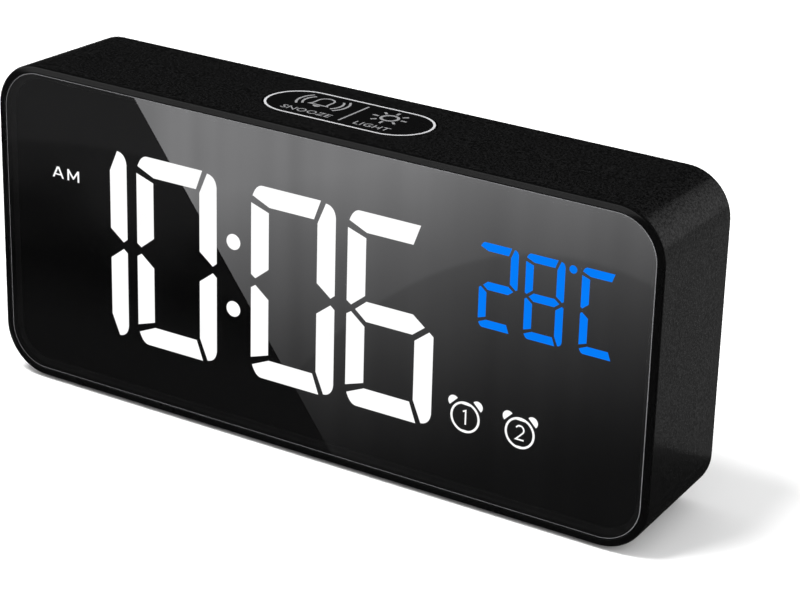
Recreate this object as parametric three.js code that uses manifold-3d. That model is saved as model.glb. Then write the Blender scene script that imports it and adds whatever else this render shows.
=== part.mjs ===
// Mirror-front alarm clock with a seven-segment display, a snooze bar on top and controls at the back.
// Units are millimetres: X is the width, +Y points to the back, Z is up, the ground is z = 0.
// Depths named d are measured backwards from the front edge of the case.
import * as THREE from 'three';
import { mergeVertices } from 'three/addons/utils/BufferGeometryUtils.js';
import Module from 'manifold-3d';

const wasm = await Module();
wasm.setup();

// Case
const WIDTH = 160;
const HEIGHT = 71.7;
const DEPTH = 30.4;
const CORNER = 10.7;
const DRAFT = 0.94; // how far each side has moved inwards at the back edge
const WALL = 2;
const RIM = 1.6;
const EDGE_ROUND = 0.5;
const FOOT_HEIGHT = 0.8;
const FRONT = -DEPTH / 2;
const MID_Z = FOOT_HEIGHT + HEIGHT / 2;
const TOP_Z = FOOT_HEIGHT + HEIGHT;

// Layers of the front, as depths
const LENS = { front: 0.3, back: 1.8 };
const LIP = { front: 1.95, back: 3.4, width: 1.7 };
const MASK = { front: 2.0, back: 2.5 };
const GUIDE = { face: 2.6, plate: 3.0, back: 3.4 };
const FILM = { front: 3.5, back: 3.65 };
const REFLECTOR = { front: 3.8, back: 8.5, width: 154.8, height: 49.6 };
const DISPLAY_BOARD = { front: 8.6, back: 9.8 };

// Back cover and what it carries
const COVER = { front: 26.6, back: 29.2, gap: 0.25 };
const CELL = { radius: 5.2, length: 44.5, pitch: 11, d: 22.1 };
const BAY = { halfLength: 25.3, midZ: 24, halfHeight: 17, floor: 16.4, wall: 1.2 };
const DOOR = { halfLength: 27, gap: 0.2, thickness: 1.5, topZ: 42.4 };
const HINGE = { z: 6.8, d: 28, radius: 1.2, pinRadius: 0.6, pinLength: 1.3 };
const MAIN_BOARD = { front: 17.4, back: 18.6 };
const BUTTON = { z: 51, middleX: -4, pitch: 16, radius: 3 };
const BUTTON_NAMES = ['set', 'up', 'down', 'alarm', 'mode'];
const SLIDE_SWITCH = { x: 60, z: 51, travel: 3 };
const INLET = { x: 57, z: 17, width: 9, height: 3.2 };
const SPEAKER = { x: -52, z: 26, radius: 14 };
const BOSS = { x: 72.2, z: 28.4, radius: 3.2 };
const VENT = { x: 44, z: 14, count: 4, pitch: 2.6, width: 1.2, height: 8 };

// Snooze bar
const SNOOZE = { x: -0.2, d: 15.3, length: 39.2, width: 16.4, gap: 0.25, flangeTop: TOP_Z - WALL - DRAFT - 0.5 };
const SNOOZE_BOARD = { bottom: 60.6, top: 61.8, halfLength: 26, halfWidth: 3.9, pinX: 22.6 };

// Display digits: one large digit, with smaller copies for the temperature
const DIGIT = { width: 20.9, height: 43, bar: 4.6, midZ: MID_Z + 0.25 };
const TIME_DIGITS = [
  ['hours_tens', -67.1],
  ['hours_units', -43.3],
  ['minutes_tens', -13.7],
  ['minutes_units', 10.1],
];
const COLON = { x: -18.1, spacing: 15, radius: 1.85 };
const SMALL_SCALE = 0.42;
const TEMPERATURE = { midZ: DIGIT.midZ + 12.45, lefts: [40.9, 51.1, 63.4], degreeX: 61.45, degreeRadius: 0.95 };
const MERIDIEM = { x: -62.2, z: DIGIT.midZ + 12.85, height: 2.75, letter: 3.4, stroke: 0.65 };
const ALARM = { z: DIGIT.midZ - 16.9, xs: [38.85, 51.35], radius: 3.5, stroke: 0.75 };

const CORNER_STEPS = 4;
const clock = new THREE.Group();
clock.name = 'alarm_clock';

const material = (color, roughness, metalness = 0, emissive = 0x000000) =>
  new THREE.MeshStandardMaterial({ color, roughness, metalness, emissive });
const MATERIALS = {
  caseBlack: material(0x17171a, 0.62),
  coverBlack: material(0x1d1d20, 0.68),
  buttonBlack: material(0x121214, 0.5),
  lens: material(0x34363a, 0.04, 0.6),
  mask: material(0x050506, 0.8),
  whiteLight: material(0xf4f6ff, 0.45, 0, 0xffffff),
  blueLight: material(0x0a7cff, 0.45, 0, 0x0a6cff),
  film: material(0xe8e8e4, 0.5),
  whitePlastic: material(0xdcdcd6, 0.55),
  board: material(0x1d5a37, 0.5),
  chip: material(0x18181a, 0.45),
  steel: material(0xb4b6ba, 0.32, 1),
  nickel: material(0xc6c3b8, 0.28, 1),
  tape: material(0x232323, 0.85),
  rubber: material(0x101011, 0.9),
  cell: material(0x2f6a3c, 0.35, 0.2),
  redWire: material(0xb01818, 0.5),
  blackWire: material(0x111111, 0.5),
  bead: material(0x1f2a44, 0.4),
};

// ---------- solids ----------

function solid(geometry) {
  geometry.deleteAttribute('normal');
  geometry.deleteAttribute('uv');
  const merged = mergeVertices(geometry, 1e-4);
  return new wasm.Manifold(new wasm.Mesh({
    numProp: 3,
    vertProperties: merged.attributes.position.array,
    triVerts: Uint32Array.from(merged.index.array),
  }));
}

const union = (bodies) => bodies.reduce((sum, body) => sum.add(body));
const cut = (body, tools) => tools.reduce((rest, tool) => rest.subtract(tool), body);

function box(x0, x1, d0, d1, z0, z1) {
  const geometry = new THREE.BoxGeometry(x1 - x0, d1 - d0, z1 - z0);
  geometry.translate((x0 + x1) / 2, FRONT + (d0 + d1) / 2, (z0 + z1) / 2);
  return solid(geometry);
}

// A shape drawn in X and Z, extruded from depth d0 to d1.
function alongY(shape, d0, d1, steps = 3) {
  const options = { depth: d1 - d0, bevelEnabled: false, curveSegments: steps };
  const geometry = new THREE.ExtrudeGeometry(shape, options);
  geometry.rotateX(Math.PI / 2);
  geometry.translate(0, FRONT + d1, 0);
  return solid(geometry);
}

// A shape drawn in X and Y, extruded from z0 to z1.
function alongZ(shape, z0, z1, steps = 5) {
  const options = { depth: z1 - z0, bevelEnabled: false, curveSegments: steps };
  const geometry = new THREE.ExtrudeGeometry(shape, options);
  geometry.translate(0, 0, z0);
  return solid(geometry);
}

// A box between two distances from the middle plane, on the side given by the sign `side`.
function sideBox(side, x0, x1, d0, d1, z0, z1) {
  const [low, high] = side > 0 ? [x0, x1] : [-x1, -x0];
  return box(low, high, d0, d1, z0, z1);
}

// A half profile of [radius, height] pairs, turned about its own axis, which then points along Y or X.
function turned(profile, sides, axis, x, d, z) {
  const geometry = new THREE.LatheGeometry(profile.map(([r, h]) => new THREE.Vector2(r, h)), sides);
  if (axis === 'x') geometry.rotateZ(-Math.PI / 2);
  geometry.translate(x, FRONT + d, z);
  return solid(geometry);
}

const barProfile = (radius, length) => [[0, 0], [radius, 0], [radius, length], [0, length]];

// A round bar along Y between two depths.
const rod = (x, z, radius, d0, d1, sides = 12) =>
  turned(barProfile(radius, d1 - d0), sides, 'y', x, d0, z);

// A round bar on the battery door's hinge axis, `reach` long each side of the middle.
const hingeBar = (radius, reach, sides) =>
  turned(barProfile(radius, 2 * reach), sides, 'x', -reach, HINGE.d, HINGE.z);

// A bar of constant section swept along a smooth path of [x, d, z] points.
function swept(points, section, steps) {
  const path = new THREE.CatmullRomCurve3(points.map(([x, d, z]) => new THREE.Vector3(x, FRONT + d, z)));
  return solid(new THREE.ExtrudeGeometry(section, { steps, extrudePath: path, curveSegments: 3 }));
}

function circle(x, y, radius) {
  const shape = new THREE.Shape();
  shape.absarc(x, y, radius, 0, 2 * Math.PI);
  return shape;
}

function roundedRect(width, height, radius, x = 0, y = 0) {
  const dx = width / 2 - radius;
  const dy = height / 2 - radius;
  const shape = new THREE.Shape();
  shape.absarc(x + dx, y + dy, radius, 0, Math.PI / 2);
  shape.absarc(x - dx, y + dy, radius, Math.PI / 2, Math.PI);
  shape.absarc(x - dx, y - dy, radius, Math.PI, 1.5 * Math.PI);
  shape.absarc(x + dx, y - dy, radius, 1.5 * Math.PI, 2 * Math.PI);
  return shape;
}

function capsule(length, width, x = 0, y = 0) {
  const radius = width / 2;
  const dx = length / 2 - radius;
  const shape = new THREE.Shape();
  shape.absarc(x + dx, y, radius, -Math.PI / 2, Math.PI / 2);
  shape.absarc(x - dx, y, radius, Math.PI / 2, 1.5 * Math.PI);
  return shape;
}

function polygon(points, x = 0, y = 0, scale = 1) {
  return new THREE.Shape(points.map(([px, py]) => new THREE.Vector2(x + px * scale, y + py * scale)));
}

// The case outline, moved inwards by `inset`.
const caseOutline = (inset) =>
  roundedRect(WIDTH - 2 * inset, HEIGHT - 2 * inset, CORNER - inset, 0, MID_Z);
const draftAt = (d) => DRAFT * d / DEPTH;

// A solid through case outlines given as [depth, inset] stations.
function caseLoft(stations) {
  const rings = stations.map(([d, inset]) =>
    caseOutline(inset).getPoints(CORNER_STEPS).map((p) => [p.x, FRONT + d, p.y]));
  const count = rings[0].length;
  const index = [];
  for (let ring = 0; ring + 1 < rings.length; ring++) {
    for (let k = 0; k < count; k++) {
      const a = ring * count + k;
      const b = ring * count + (k + 1) % count;
      index.push(a, a + count, b, b, a + count, b + count);
    }
  }
  const last = (rings.length - 1) * count;
  for (let k = 1; k + 1 < count; k++) {
    index.push(0, k, k + 1, last, last + k + 1, last + k);
  }
  const geometry = new THREE.BufferGeometry();
  geometry.setAttribute('position', new THREE.Float32BufferAttribute(rings.flat(2), 3));
  geometry.setIndex(index);
  return solid(geometry);
}

function add(name, body, look) {
  const mesh = body.getMesh();
  const geometry = new THREE.BufferGeometry();
  geometry.setAttribute('position', new THREE.BufferAttribute(mesh.vertProperties, 3));
  geometry.setIndex(new THREE.BufferAttribute(mesh.triVerts, 1));
  geometry.computeVertexNormals();
  const part = new THREE.Mesh(geometry, look);
  part.name = name;
  clock.add(part);
}

const corners = (x, z) => [[-x, -z], [x, -z], [-x, z], [x, z]];

// ---------- display ----------

// The upper half of one digit, from its left edge and its middle height.
function upperSegments() {
  const { width, bar } = DIGIT;
  const top = DIGIT.height / 2;
  const topBar = polygon([[0.3, top - 2.7]]);
  topBar.quadraticCurveTo(1.2, top, 2.9, top);
  topBar.lineTo(width - 3.6, top);
  topBar.lineTo(width - 5.3, top - bar);
  topBar.lineTo(bar, top - bar);
  const rightBar = polygon([[width - 2.6, top - 0.35]]);
  rightBar.quadraticCurveTo(width - 0.3, top - 0.5, width, top - 3.1);
  rightBar.lineTo(width, 1.5);
  rightBar.lineTo(width - 1.1, 0.6);
  rightBar.lineTo(width - bar, 3.3);
  rightBar.lineTo(width - bar, top - 5.1);
  const leftBar = polygon([[0, top - 4.1], [0, 1.4], [1.2, 0.6], [bar, 3.3], [bar, top - 5.6]]);
  return [topBar, rightBar, leftBar];
}

// All seven segment outlines, placed with the digit's left edge at x and its middle at z.
function digitSegments(x, z, scale = 1) {
  const { width, bar } = DIGIT;
  const [left, right, half] = [bar + 0.2, width - bar - 0.4, bar / 2];
  const middle = [[2, 0], [left, half], [right, half], [width - 2, 0], [right, -half], [left, -half]];
  const upper = upperSegments().map((shape) => shape.getPoints(scale < 1 ? 1 : 2).map((p) => [p.x, p.y]));
  const lower = upper.map((points) => points.map(([px, py]) => [px, -py]).reverse());
  return [...upper, ...lower, middle].map((points) => polygon(points, x, z, scale));
}

// The tens of the hours only ever shows a 1, so it has the two right-hand bars alone.
function timeSegments() {
  return TIME_DIGITS.map(([name, left]) => {
    const all = digitSegments(left, DIGIT.midZ);
    const isTens = name === 'hours_tens';
    return {
      name,
      shapes: isTens ? [all[1], all[4]] : all,
      width: isTens ? DIGIT.bar : DIGIT.width,
      right: left + DIGIT.width,
    };
  });
}

const colonDots = () => [-0.5, 0.5].map((side) =>
  circle(COLON.x, DIGIT.midZ + side * COLON.spacing, COLON.radius));

function temperatureShapes() {
  const digits = TEMPERATURE.lefts.flatMap((left) => digitSegments(left, TEMPERATURE.midZ, SMALL_SCALE));
  const top = TEMPERATURE.midZ + SMALL_SCALE * DIGIT.height / 2;
  return [...digits, circle(TEMPERATURE.degreeX, top - TEMPERATURE.degreeRadius, TEMPERATURE.degreeRadius)];
}

function letterA() {
  const { height, letter, stroke } = MERIDIEM;
  const middle = letter / 2;
  const foot = [[0, 0], [stroke, 0], [stroke * 1.35, 0.6]];
  const outer = polygon(withMirror(foot, [[middle - stroke / 2, height]]));
  outer.holes.push(polygon([[middle - 0.55, 1.1], [middle + 0.55, 1.1], [middle, height - 0.75]]));
  return outer;
}

function letterM() {
  const { height, letter, stroke } = MERIDIEM;
  const middle = letter / 2;
  const foot = [[0, 0], [stroke, 0], [stroke, height - 1.1], [middle - 0.25, 0.6]];
  return polygon(withMirror(foot, [[middle - 0.01, 1.3], [stroke, height], [0, height]]));
}

// A symmetrical letter from the left halves of its lower and upper outlines.
function withMirror(lower, upper) {
  const mirrored = (points) => points.map(([x, y]) => [MERIDIEM.letter - x, y]).reverse();
  return [...lower, ...mirrored(lower), ...mirrored(upper), ...upper];
}

// The letters A and M as solids between two depths.
function meridiemLetters(d0, d1) {
  const { x, z, height, letter } = MERIDIEM;
  return [[letterA(), x - letter - 0.35], [letterM(), x + 0.35]].map(([shape, left]) =>
    alongY(shape, d0, d1).translate([left, 0, z - height / 2]));
}

// A line of round-ended strokes through [x, z] points.
function strokes(points, width, d0, d1) {
  const bars = points.slice(1).map(([x1, z1], k) => {
    const [x0, z0] = points[k];
    const length = Math.hypot(x1 - x0, z1 - z0);
    const degrees = THREE.MathUtils.radToDeg(Math.atan2(z1 - z0, x1 - x0));
    return alongY(capsule(length + width, width), d0, d1, 1)
      .rotate([0, -degrees, 0])
      .translate([(x0 + x1) / 2, 0, (z0 + z1) / 2]);
  });
  return union(bars);
}

// The numerals 1 and 2 as lines of [x, z] points from the sign's centre.
const ALARM_NUMERALS = [
  [[-0.6, 1.2], [0.1, 1.55], [0.1, -1.55]],
  [[-0.85, 0.8], [-0.4, 1.5], [0.45, 1.5], [0.85, 0.7], [-0.95, -1.5], [1, -1.5]],
];

// A round alarm-clock sign with two bells and a numeral.
function alarmSign(which, d0, d1) {
  const { radius, stroke, z, xs } = ALARM;
  const ring = alongY(circle(0, 0, radius), d0, d1, 8)
    .subtract(alongY(circle(0, 0, radius - stroke), d0 - 1, d1 + 1, 8));
  const bells = [-1, 1].map((side) => alongY(circle(side * 2.75, 2.95, 1.35), d0, d1, 4));
  const gap = alongY(circle(0, 0, radius + 0.25), d0 - 1, d1 + 1, 8);
  return [ring, ...bells.map((bell) => bell.subtract(gap)), strokes(ALARM_NUMERALS[which], 0.55, d0, d1)]
    .map((body) => body.translate([xs[which], 0, z]));
}

// A light guide: a thin plate behind the mask with raised faces that fill its windows.
function lightGuide(name, look, plateShape, faces) {
  const plate = alongY(plateShape, GUIDE.plate, GUIDE.back);
  add(name, union([plate, ...faces(GUIDE.face, GUIDE.plate + 0.1)]), look);
}

const raised = (shapes) => (d0, d1) => shapes.map((shape) => alongY(shape, d0, d1, 5));

function buildLightGuides() {
  const { whiteLight, blueLight } = MATERIALS;
  for (const { name, shapes, width, right } of timeSegments()) {
    const plate = roundedRect(width + 1.2, DIGIT.height + 1.6, 2, right - width / 2, DIGIT.midZ);
    lightGuide(`${name}_segments`, whiteLight, plate, raised(shapes));
  }
  const colonPlate = roundedRect(5, COLON.spacing + 6, 2.4, COLON.x, DIGIT.midZ);
  lightGuide('colon_segments', whiteLight, colonPlate, raised(colonDots()));
  const [firstLeft, , lastLeft] = TEMPERATURE.lefts;
  const span = lastLeft + SMALL_SCALE * DIGIT.width - firstLeft;
  const rise = SMALL_SCALE * DIGIT.height;
  const bluePlate = roundedRect(span + 1.4, rise + 1.4, 1, firstLeft + span / 2, TEMPERATURE.midZ);
  lightGuide('temperature_segments', blueLight, bluePlate, raised(temperatureShapes()));
  const letters = roundedRect(2 * MERIDIEM.letter + 2, MERIDIEM.height + 1.2, 0.5, MERIDIEM.x, MERIDIEM.z);
  lightGuide('meridiem_letters', whiteLight, letters, meridiemLetters);
  ALARM.xs.forEach((x, which) => {
    const plate = roundedRect(9, 9.2, 2, x, ALARM.z + 0.5);
    lightGuide(`alarm_sign_${which + 1}`, whiteLight, plate, (d0, d1) => alarmSign(which, d0, d1));
  });
}

// Every lit outline as a solid between two depths. Thin bridges keep the middle of each ring in the mask.
function allWindows(d0, d1) {
  const digits = timeSegments().flatMap(({ shapes }) => shapes);
  const shapes = [...digits, ...colonDots(), ...temperatureShapes()];
  const signs = ALARM.xs.flatMap((x, which) => {
    const bridge = box(x - 4, x + 4, d0 - 1, d1 + 1, ALARM.z - 0.2, ALARM.z + 0.2);
    return alarmSign(which, d0, d1).map((body, part) => (part === 0 ? body.subtract(bridge) : body));
  });
  const eyeBridge = box(MERIDIEM.x - 2.3, MERIDIEM.x - 2, d0 - 1, d1 + 1, MERIDIEM.z, MERIDIEM.z + 3);
  const letters = meridiemLetters(d0, d1).map((body) => body.subtract(eyeBridge));
  return [...raised(shapes)(d0, d1), ...letters, ...signs];
}

function buildMask() {
  const inset = RIM + LIP.width + 0.2;
  add('display_mask', cut(caseLoft([[MASK.front, inset], [MASK.back, inset]]),
    allWindows(MASK.front - 0.5, MASK.back + 0.5)), MATERIALS.mask);
}

// One light chamber behind every window.
function chambers(d0, d1) {
  const digits = timeSegments().flatMap(({ shapes }) => shapes);
  const signs = ALARM.xs.map((x) => circle(x, ALARM.z, ALARM.radius));
  const shapes = [...digits, ...colonDots(), ...temperatureShapes(), ...signs];
  const { x, z, letter, height } = MERIDIEM;
  const letters = box(x - letter - 0.4, x + letter + 0.4, d0, d1, z - height / 2, z + height / 2);
  return [...shapes.map((shape) => alongY(shape, d0, d1)), letters];
}

function buildReflector() {
  const { front, back, width, height } = REFLECTOR;
  const block = alongY(roundedRect(width, height, 2, 0, MID_Z), front, back);
  add('display_reflector', cut(block, chambers(front - 0.5, back + 0.5)), MATERIALS.whitePlastic);
}

// The display board carries one lamp in the middle of every chamber.
function buildDisplayBoard() {
  const { front, back } = DISPLAY_BOARD;
  const board = alongY(roundedRect(REFLECTOR.width - 2, REFLECTOR.height - 2, 1, 0, MID_Z), front, back);
  const lamps = chambers(front - 0.8, front + 0.2).map((chamber) => {
    const { min, max } = chamber.boundingBox();
    const x = (min[0] + max[0]) / 2;
    const z = (min[2] + max[2]) / 2;
    const half = Math.min(1, (max[0] - min[0]) / 2 - 0.3);
    return box(x - half, x + half, front - 0.8, front + 0.1, z - 0.5, z + 0.5);
  });
  add('display_board', union([board, ...lamps]), MATERIALS.board);
}

function buildFilm() {
  const { front, back } = FILM;
  add('diffuser_film', alongY(roundedRect(146, 48, 2, 2, MID_Z), front, back), MATERIALS.film);
}

function buildLens() {
  const inset = RIM + 0.15;
  const { front, back } = LENS;
  add('front_lens', caseLoft([[front, inset + 0.25], [front + 0.25, inset], [back, inset]]), MATERIALS.lens);
  const outer = caseLoft([[back, RIM + 0.25], [LIP.front, RIM + 0.25]]);
  const inner = caseLoft([[back - 1, RIM + LIP.width], [LIP.front + 1, RIM + LIP.width]]);
  add('lens_adhesive', outer.subtract(inner), MATERIALS.tape);
}

// ---------- case ----------

const caseEnvelope = () => caseLoft([
  [0, EDGE_ROUND], [EDGE_ROUND * 0.3, EDGE_ROUND * 0.3], [EDGE_ROUND, 0],
  [DEPTH - EDGE_ROUND, draftAt(DEPTH - EDGE_ROUND)], [DEPTH, DRAFT + EDGE_ROUND]]);

function caseInside() {
  const lensRecess = caseLoft([[-1, RIM], [LIP.front, RIM]]);
  const lipOpening = caseLoft([[0.5, RIM + LIP.width], [LIP.back + 0.5, RIM + LIP.width]]);
  const behindLip = [LIP.back, WALL + draftAt(LIP.back)];
  const room = caseLoft([behindLip, [DEPTH, WALL + DRAFT], [DEPTH + 1, WALL + DRAFT]]);
  return union([lensRecess, lipOpening, room]);
}

const snoozeOutline = (extra) =>
  capsule(SNOOZE.length + extra, SNOOZE.width + extra, SNOOZE.x, FRONT + SNOOZE.d);

// Screw columns in the case corners, joined to the walls.
function caseBosses() {
  return corners(BOSS.x, BOSS.z).map(([x, z]) => {
    const column = rod(x, MID_Z + z, BOSS.radius, LIP.back - 0.4, COVER.front - 0.1);
    const web = sideBox(x, BOSS.x, WIDTH / 2 - WALL, LIP.back - 0.4, 20, MID_Z + z - 0.6, MID_Z + z + 0.6);
    return column.add(web).subtract(rod(x, MID_Z + z, 1.15, 14, DEPTH, 12));
  });
}

// Two hanging columns that hold the snooze board.
function snoozeColumns() {
  const { bottom, top, pinX } = SNOOZE_BOARD;
  return [-pinX, pinX].map((x) => {
    const column = alongZ(circle(SNOOZE.x + x, FRONT + SNOOZE.d, 1.7), top, TOP_Z - 1.5);
    return column.add(alongZ(circle(SNOOZE.x + x, FRONT + SNOOZE.d, 0.8), bottom - 0.5, TOP_Z - 3));
  });
}

const FOOT_STRIPS = [['foot_strip_front', 6], ['foot_strip_rear', 24]];
const footShape = (d, extra) => capsule(116 + extra, 4 + extra, 0, FRONT + d);

function buildCase() {
  const shell = caseEnvelope().subtract(caseInside());
  const hole = alongZ(snoozeOutline(2 * SNOOZE.gap), MID_Z, TOP_Z + 5, 6);
  const footPockets = FOOT_STRIPS.map(([, d]) => alongZ(footShape(d, 0.4), 0, FOOT_HEIGHT + 0.35));
  const walls = cut(shell, [hole, ...footPockets]);
  add('housing', union([walls, ...caseBosses(), ...snoozeColumns()]), MATERIALS.caseBlack);
  for (const [name, d] of FOOT_STRIPS) {
    add(name, alongZ(footShape(d, 0), 0, FOOT_HEIGHT + 0.3), MATERIALS.rubber);
  }
}

// ---------- snooze bar ----------

// A box about the snooze bar's centre line.
const snoozeBox = (halfX, halfD, z0, z1) =>
  box(SNOOZE.x - halfX, SNOOZE.x + halfX, SNOOZE.d - halfD, SNOOZE.d + halfD, z0, z1);

function buildSnooze() {
  const { flangeTop } = SNOOZE;
  const cap = alongZ(snoozeOutline(0), flangeTop - 0.2, TOP_Z + 5, 6).intersect(caseEnvelope());
  const flange = alongZ(snoozeOutline(2.4), flangeTop - 1.2, flangeTop, 6);
  const plunger = alongZ(circle(SNOOZE.x, FRONT + SNOOZE.d, 1.5), 64.9, flangeTop - 1);
  const rib = snoozeBox(12, 0.6, flangeTop - 2, flangeTop - 1);
  add('snooze_button', union([cap, flange, plunger, rib]), MATERIALS.buttonBlack);
}

function buildSnoozeBoard() {
  const { bottom, top, halfLength, halfWidth, pinX } = SNOOZE_BOARD;
  const pinHoles = [-pinX, pinX].map((x) =>
    alongZ(circle(SNOOZE.x + x, FRONT + SNOOZE.d, 1), bottom - 1, top + 1));
  add('snooze_board', cut(snoozeBox(halfLength, halfWidth, bottom, top - 0.05), pinHoles), MATERIALS.board);

  const well = alongZ(circle(SNOOZE.x, FRONT + SNOOZE.d, 1.8), top + 2.2, top + 5);
  add('snooze_switch', snoozeBox(3, 3, top, top + 3.2).subtract(well), MATERIALS.chip);

  const path = [[13, 13, 60.3], [13.2, 13.2, 58.6], [13.8, 14.6, 57.4], [14.4, 17, 57]];
  add('snooze_lead', swept(path, twinSection(0.55), 6), MATERIALS.blackWire);
}

// Two round wires side by side as one section.
function twinSection(radius) {
  const shape = new THREE.Shape();
  shape.absarc(0, radius * 0.8, radius, -0.2 * Math.PI, 1.2 * Math.PI);
  shape.absarc(0, -radius * 0.8, radius, 0.8 * Math.PI, 2.2 * Math.PI);
  return shape;
}

// ---------- boards ----------

const BOARD_POSTS = [[-57, 57], [-57, 46.5], [30, 57], [65.5, 57], [65.5, 12.5]];

function buildMainBoard() {
  const { front, back } = MAIN_BOARD;
  const outline = polygon([[-60, 44], [50, 44], [50, 10], [68, 10], [68, 59.6], [-60, 59.6]]);
  const holes = BOARD_POSTS.map(([x, z]) => rod(x, z, 1.2, front - 1, back + 1, 6));
  add('main_board', cut(alongY(outline, front, back), holes), MATERIALS.board);
}

function buildMicrocontroller() {
  const { front } = MAIN_BOARD;
  const [middle, low, high] = [-12, 48.2, 55.8];
  const body = box(middle - 6.5, middle + 6.5, front - 2.6, front - 0.3, low, high);
  const legs = [-2, -1, 0, 1, 2].flatMap((k) => {
    const x = middle + k * 2.4;
    return [[low - 1.4, low + 0.2], [high - 0.2, high + 1.4]].map(([z0, z1]) =>
      box(x - 0.2, x + 0.2, front - 1, front - 0.05, z0, z1));
  });
  add('microcontroller', union([body, ...legs]), MATERIALS.chip);
}

function buildCapacitor() {
  const [radius, length] = [3.15, 5.2];
  const groove = [[radius, 4.2], [radius - 0.2, 4.5], [radius, 4.8]];
  const can = [[0, 0], [radius, 0], ...groove, [radius, length], [0, length]];
  add('capacitor', turned(can, 16, 'y', 38, MAIN_BOARD.front - length - 0.05, 52), MATERIALS.steel);
}

// The temperature sensor hangs in front of the vents on two wires.
function buildThermistor() {
  const { x, z } = VENT;
  const bead = turned([[0, -1.5], [0.9, -1.1], [1.2, 0], [0.9, 1.1], [0, 1.5]], 8, 'x', x, 21, z);
  const wires = [-1, 1].map((side) => {
    const path = [[x, 21, z + side * 0.5], [x + 4, 21, z + side * 0.5], [x + 6.4, 20.6, z + side],
      [x + 7, MAIN_BOARD.back + 0.05, z + side * 1.2]];
    return swept(path, circle(0, 0, 0.25), 4);
  });
  add('thermistor', union([bead, ...wires]), MATERIALS.bead);
}

// A row of pins between the display board and the main board, with a block at each end.
function buildBoardHeader() {
  const { front } = MAIN_BOARD;
  const { back } = DISPLAY_BOARD;
  const pitch = 2.54;
  const [middle, z] = [-40.9, 52];
  const pins = [-2, -1, 0, 1, 2].map((k) => {
    const x = middle + k * pitch;
    return box(x - 0.3, x + 0.3, back + 0.05, front - 0.05, z - 0.3, z + 0.3);
  });
  const blocks = [[back + 0.4, back + 2.9], [front - 2.9, front - 0.4]].map(([d0, d1]) =>
    box(middle - 2.5 * pitch, middle + 2.5 * pitch, d0, d1, z - pitch / 2, z + pitch / 2));
  add('board_header', union([...pins, ...blocks]), MATERIALS.chip);
}

const buttonXs = () => BUTTON_NAMES.map((_, k) =>
  BUTTON.middleX + (k - (BUTTON_NAMES.length - 1) / 2) * BUTTON.pitch);

function buildButtons() {
  const { z, radius } = BUTTON;
  const { back } = MAIN_BOARD;
  const flange = radius + 0.9;
  // From the plunger's tip, past the flange, out to the crowned face.
  const profile = [[0, 0], [1.5, 0], [1.5, 4.2], [flange, 4.2], [flange, 4.9], [radius, 4.9],
    [radius, 8.2], [radius - 0.35, 8.55], [0, 8.6]];
  buttonXs().forEach((x, k) => {
    add(`${BUTTON_NAMES[k]}_button`, turned(profile, 14, 'y', x, back + 3, z), MATERIALS.buttonBlack);
    const body = box(x - 3, x + 3, back + 0.05, back + 3.4, z - 3, z + 3);
    add(`${BUTTON_NAMES[k]}_switch`, body.subtract(rod(x, z, 1.8, back + 2.5, back + 5)), MATERIALS.chip);
  });
}

function buildSlideSwitch() {
  const { x, z, travel } = SLIDE_SWITCH;
  const base = MAIN_BOARD.back;
  const body = box(x - 5, x + 5, base + 0.05, base + 3.6, z - 2.2, z + 2.2);
  const track = box(x - travel / 2 - 1.3, x + travel / 2 + 1.3, base + 1, base + 4, z - 0.8, z + 0.8);
  add('slide_switch_body', body.subtract(track), MATERIALS.steel);

  const left = x - travel / 2;
  const stem = box(left - 1, left + 1, base + 1.2, base + 5, z - 0.6, z + 0.6);
  const head = box(left - 1.5, left + 1.5, base + 4.8, COVER.back + 0.5, z - 1.25, z + 1.25);
  const ridges = [-1, 0, 1].map((k) =>
    box(left + k - 0.25, left + k + 0.25, COVER.back + 0.4, COVER.back + 0.9, z - 1.25, z + 1.25));
  add('slide_switch_knob', union([stem, head, ...ridges]), MATERIALS.buttonBlack);
}

function buildInlet() {
  const { x, z, width, height } = INLET;
  const front = MAIN_BOARD.back + 0.05;
  const back = COVER.back - 0.5;
  const shell = alongY(capsule(width, height, x, z), front, back, 4)
    .subtract(alongY(capsule(width - 0.7, height - 0.7, x, z), front - 1, back + 1, 4));
  add('power_inlet_shell', shell, MATERIALS.nickel);
  const plug = alongY(capsule(width - 0.9, height - 0.9, x, z), front, front + 2.5, 4);
  const tongue = box(x - 3.3, x + 3.3, front + 2.4, back - 1, z - 0.35, z + 0.35);
  add('power_inlet_tongue', plug.add(tongue), MATERIALS.chip);
}

function buildSpeaker() {
  const { x, z, radius } = SPEAKER;
  const profile = [[0, 0], [7.6, 0], [7.6, 2], [11.5, 4.2], [radius, 4.4], [radius, 5.3], [radius - 1.4, 5.3],
    [5, 4.3], [3, 4.8], [0, 5.1]];
  add('speaker', turned(profile, 16, 'y', x, COVER.front - 5.6, z), MATERIALS.chip);
  const path = [[x + 3, 20.6, z + 8.2], [x + 3.4, 19.8, z + 11], [x + 5, 20.8, 42], [x + 6, 19.45, 46]];
  add('speaker_lead', swept(path, twinSection(0.55), 6), MATERIALS.blackWire);
}

// ---------- batteries ----------

const CELLS = [['battery_cell_top', 1, 1], ['battery_cell_middle', 0, -1], ['battery_cell_bottom', -1, 1]];
const cellZ = (row) => BAY.midZ + row * CELL.pitch;

// Rows alternate in direction; `facing` 1 puts the positive end on the left.
function buildCells() {
  const { radius, length } = CELL;
  const profile = [[0, 0], [1.9, 0], [1.9, 0.9], [radius - 0.6, 0.9], [radius, 1.5], [radius, length - 0.5],
    [radius - 0.5, length], [0, length]];
  for (const [name, row, facing] of CELLS) {
    const start = -facing * (BAY.halfLength - 0.5);
    const cell = turned(profile, 16, 'x', 0, 0, 0);
    const turnedCell = facing > 0 ? cell : cell.rotate([0, 180, 0]);
    add(name, turnedCell.translate([start, CELL.d, cellZ(row)]), MATERIALS.cell);
  }
}

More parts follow.
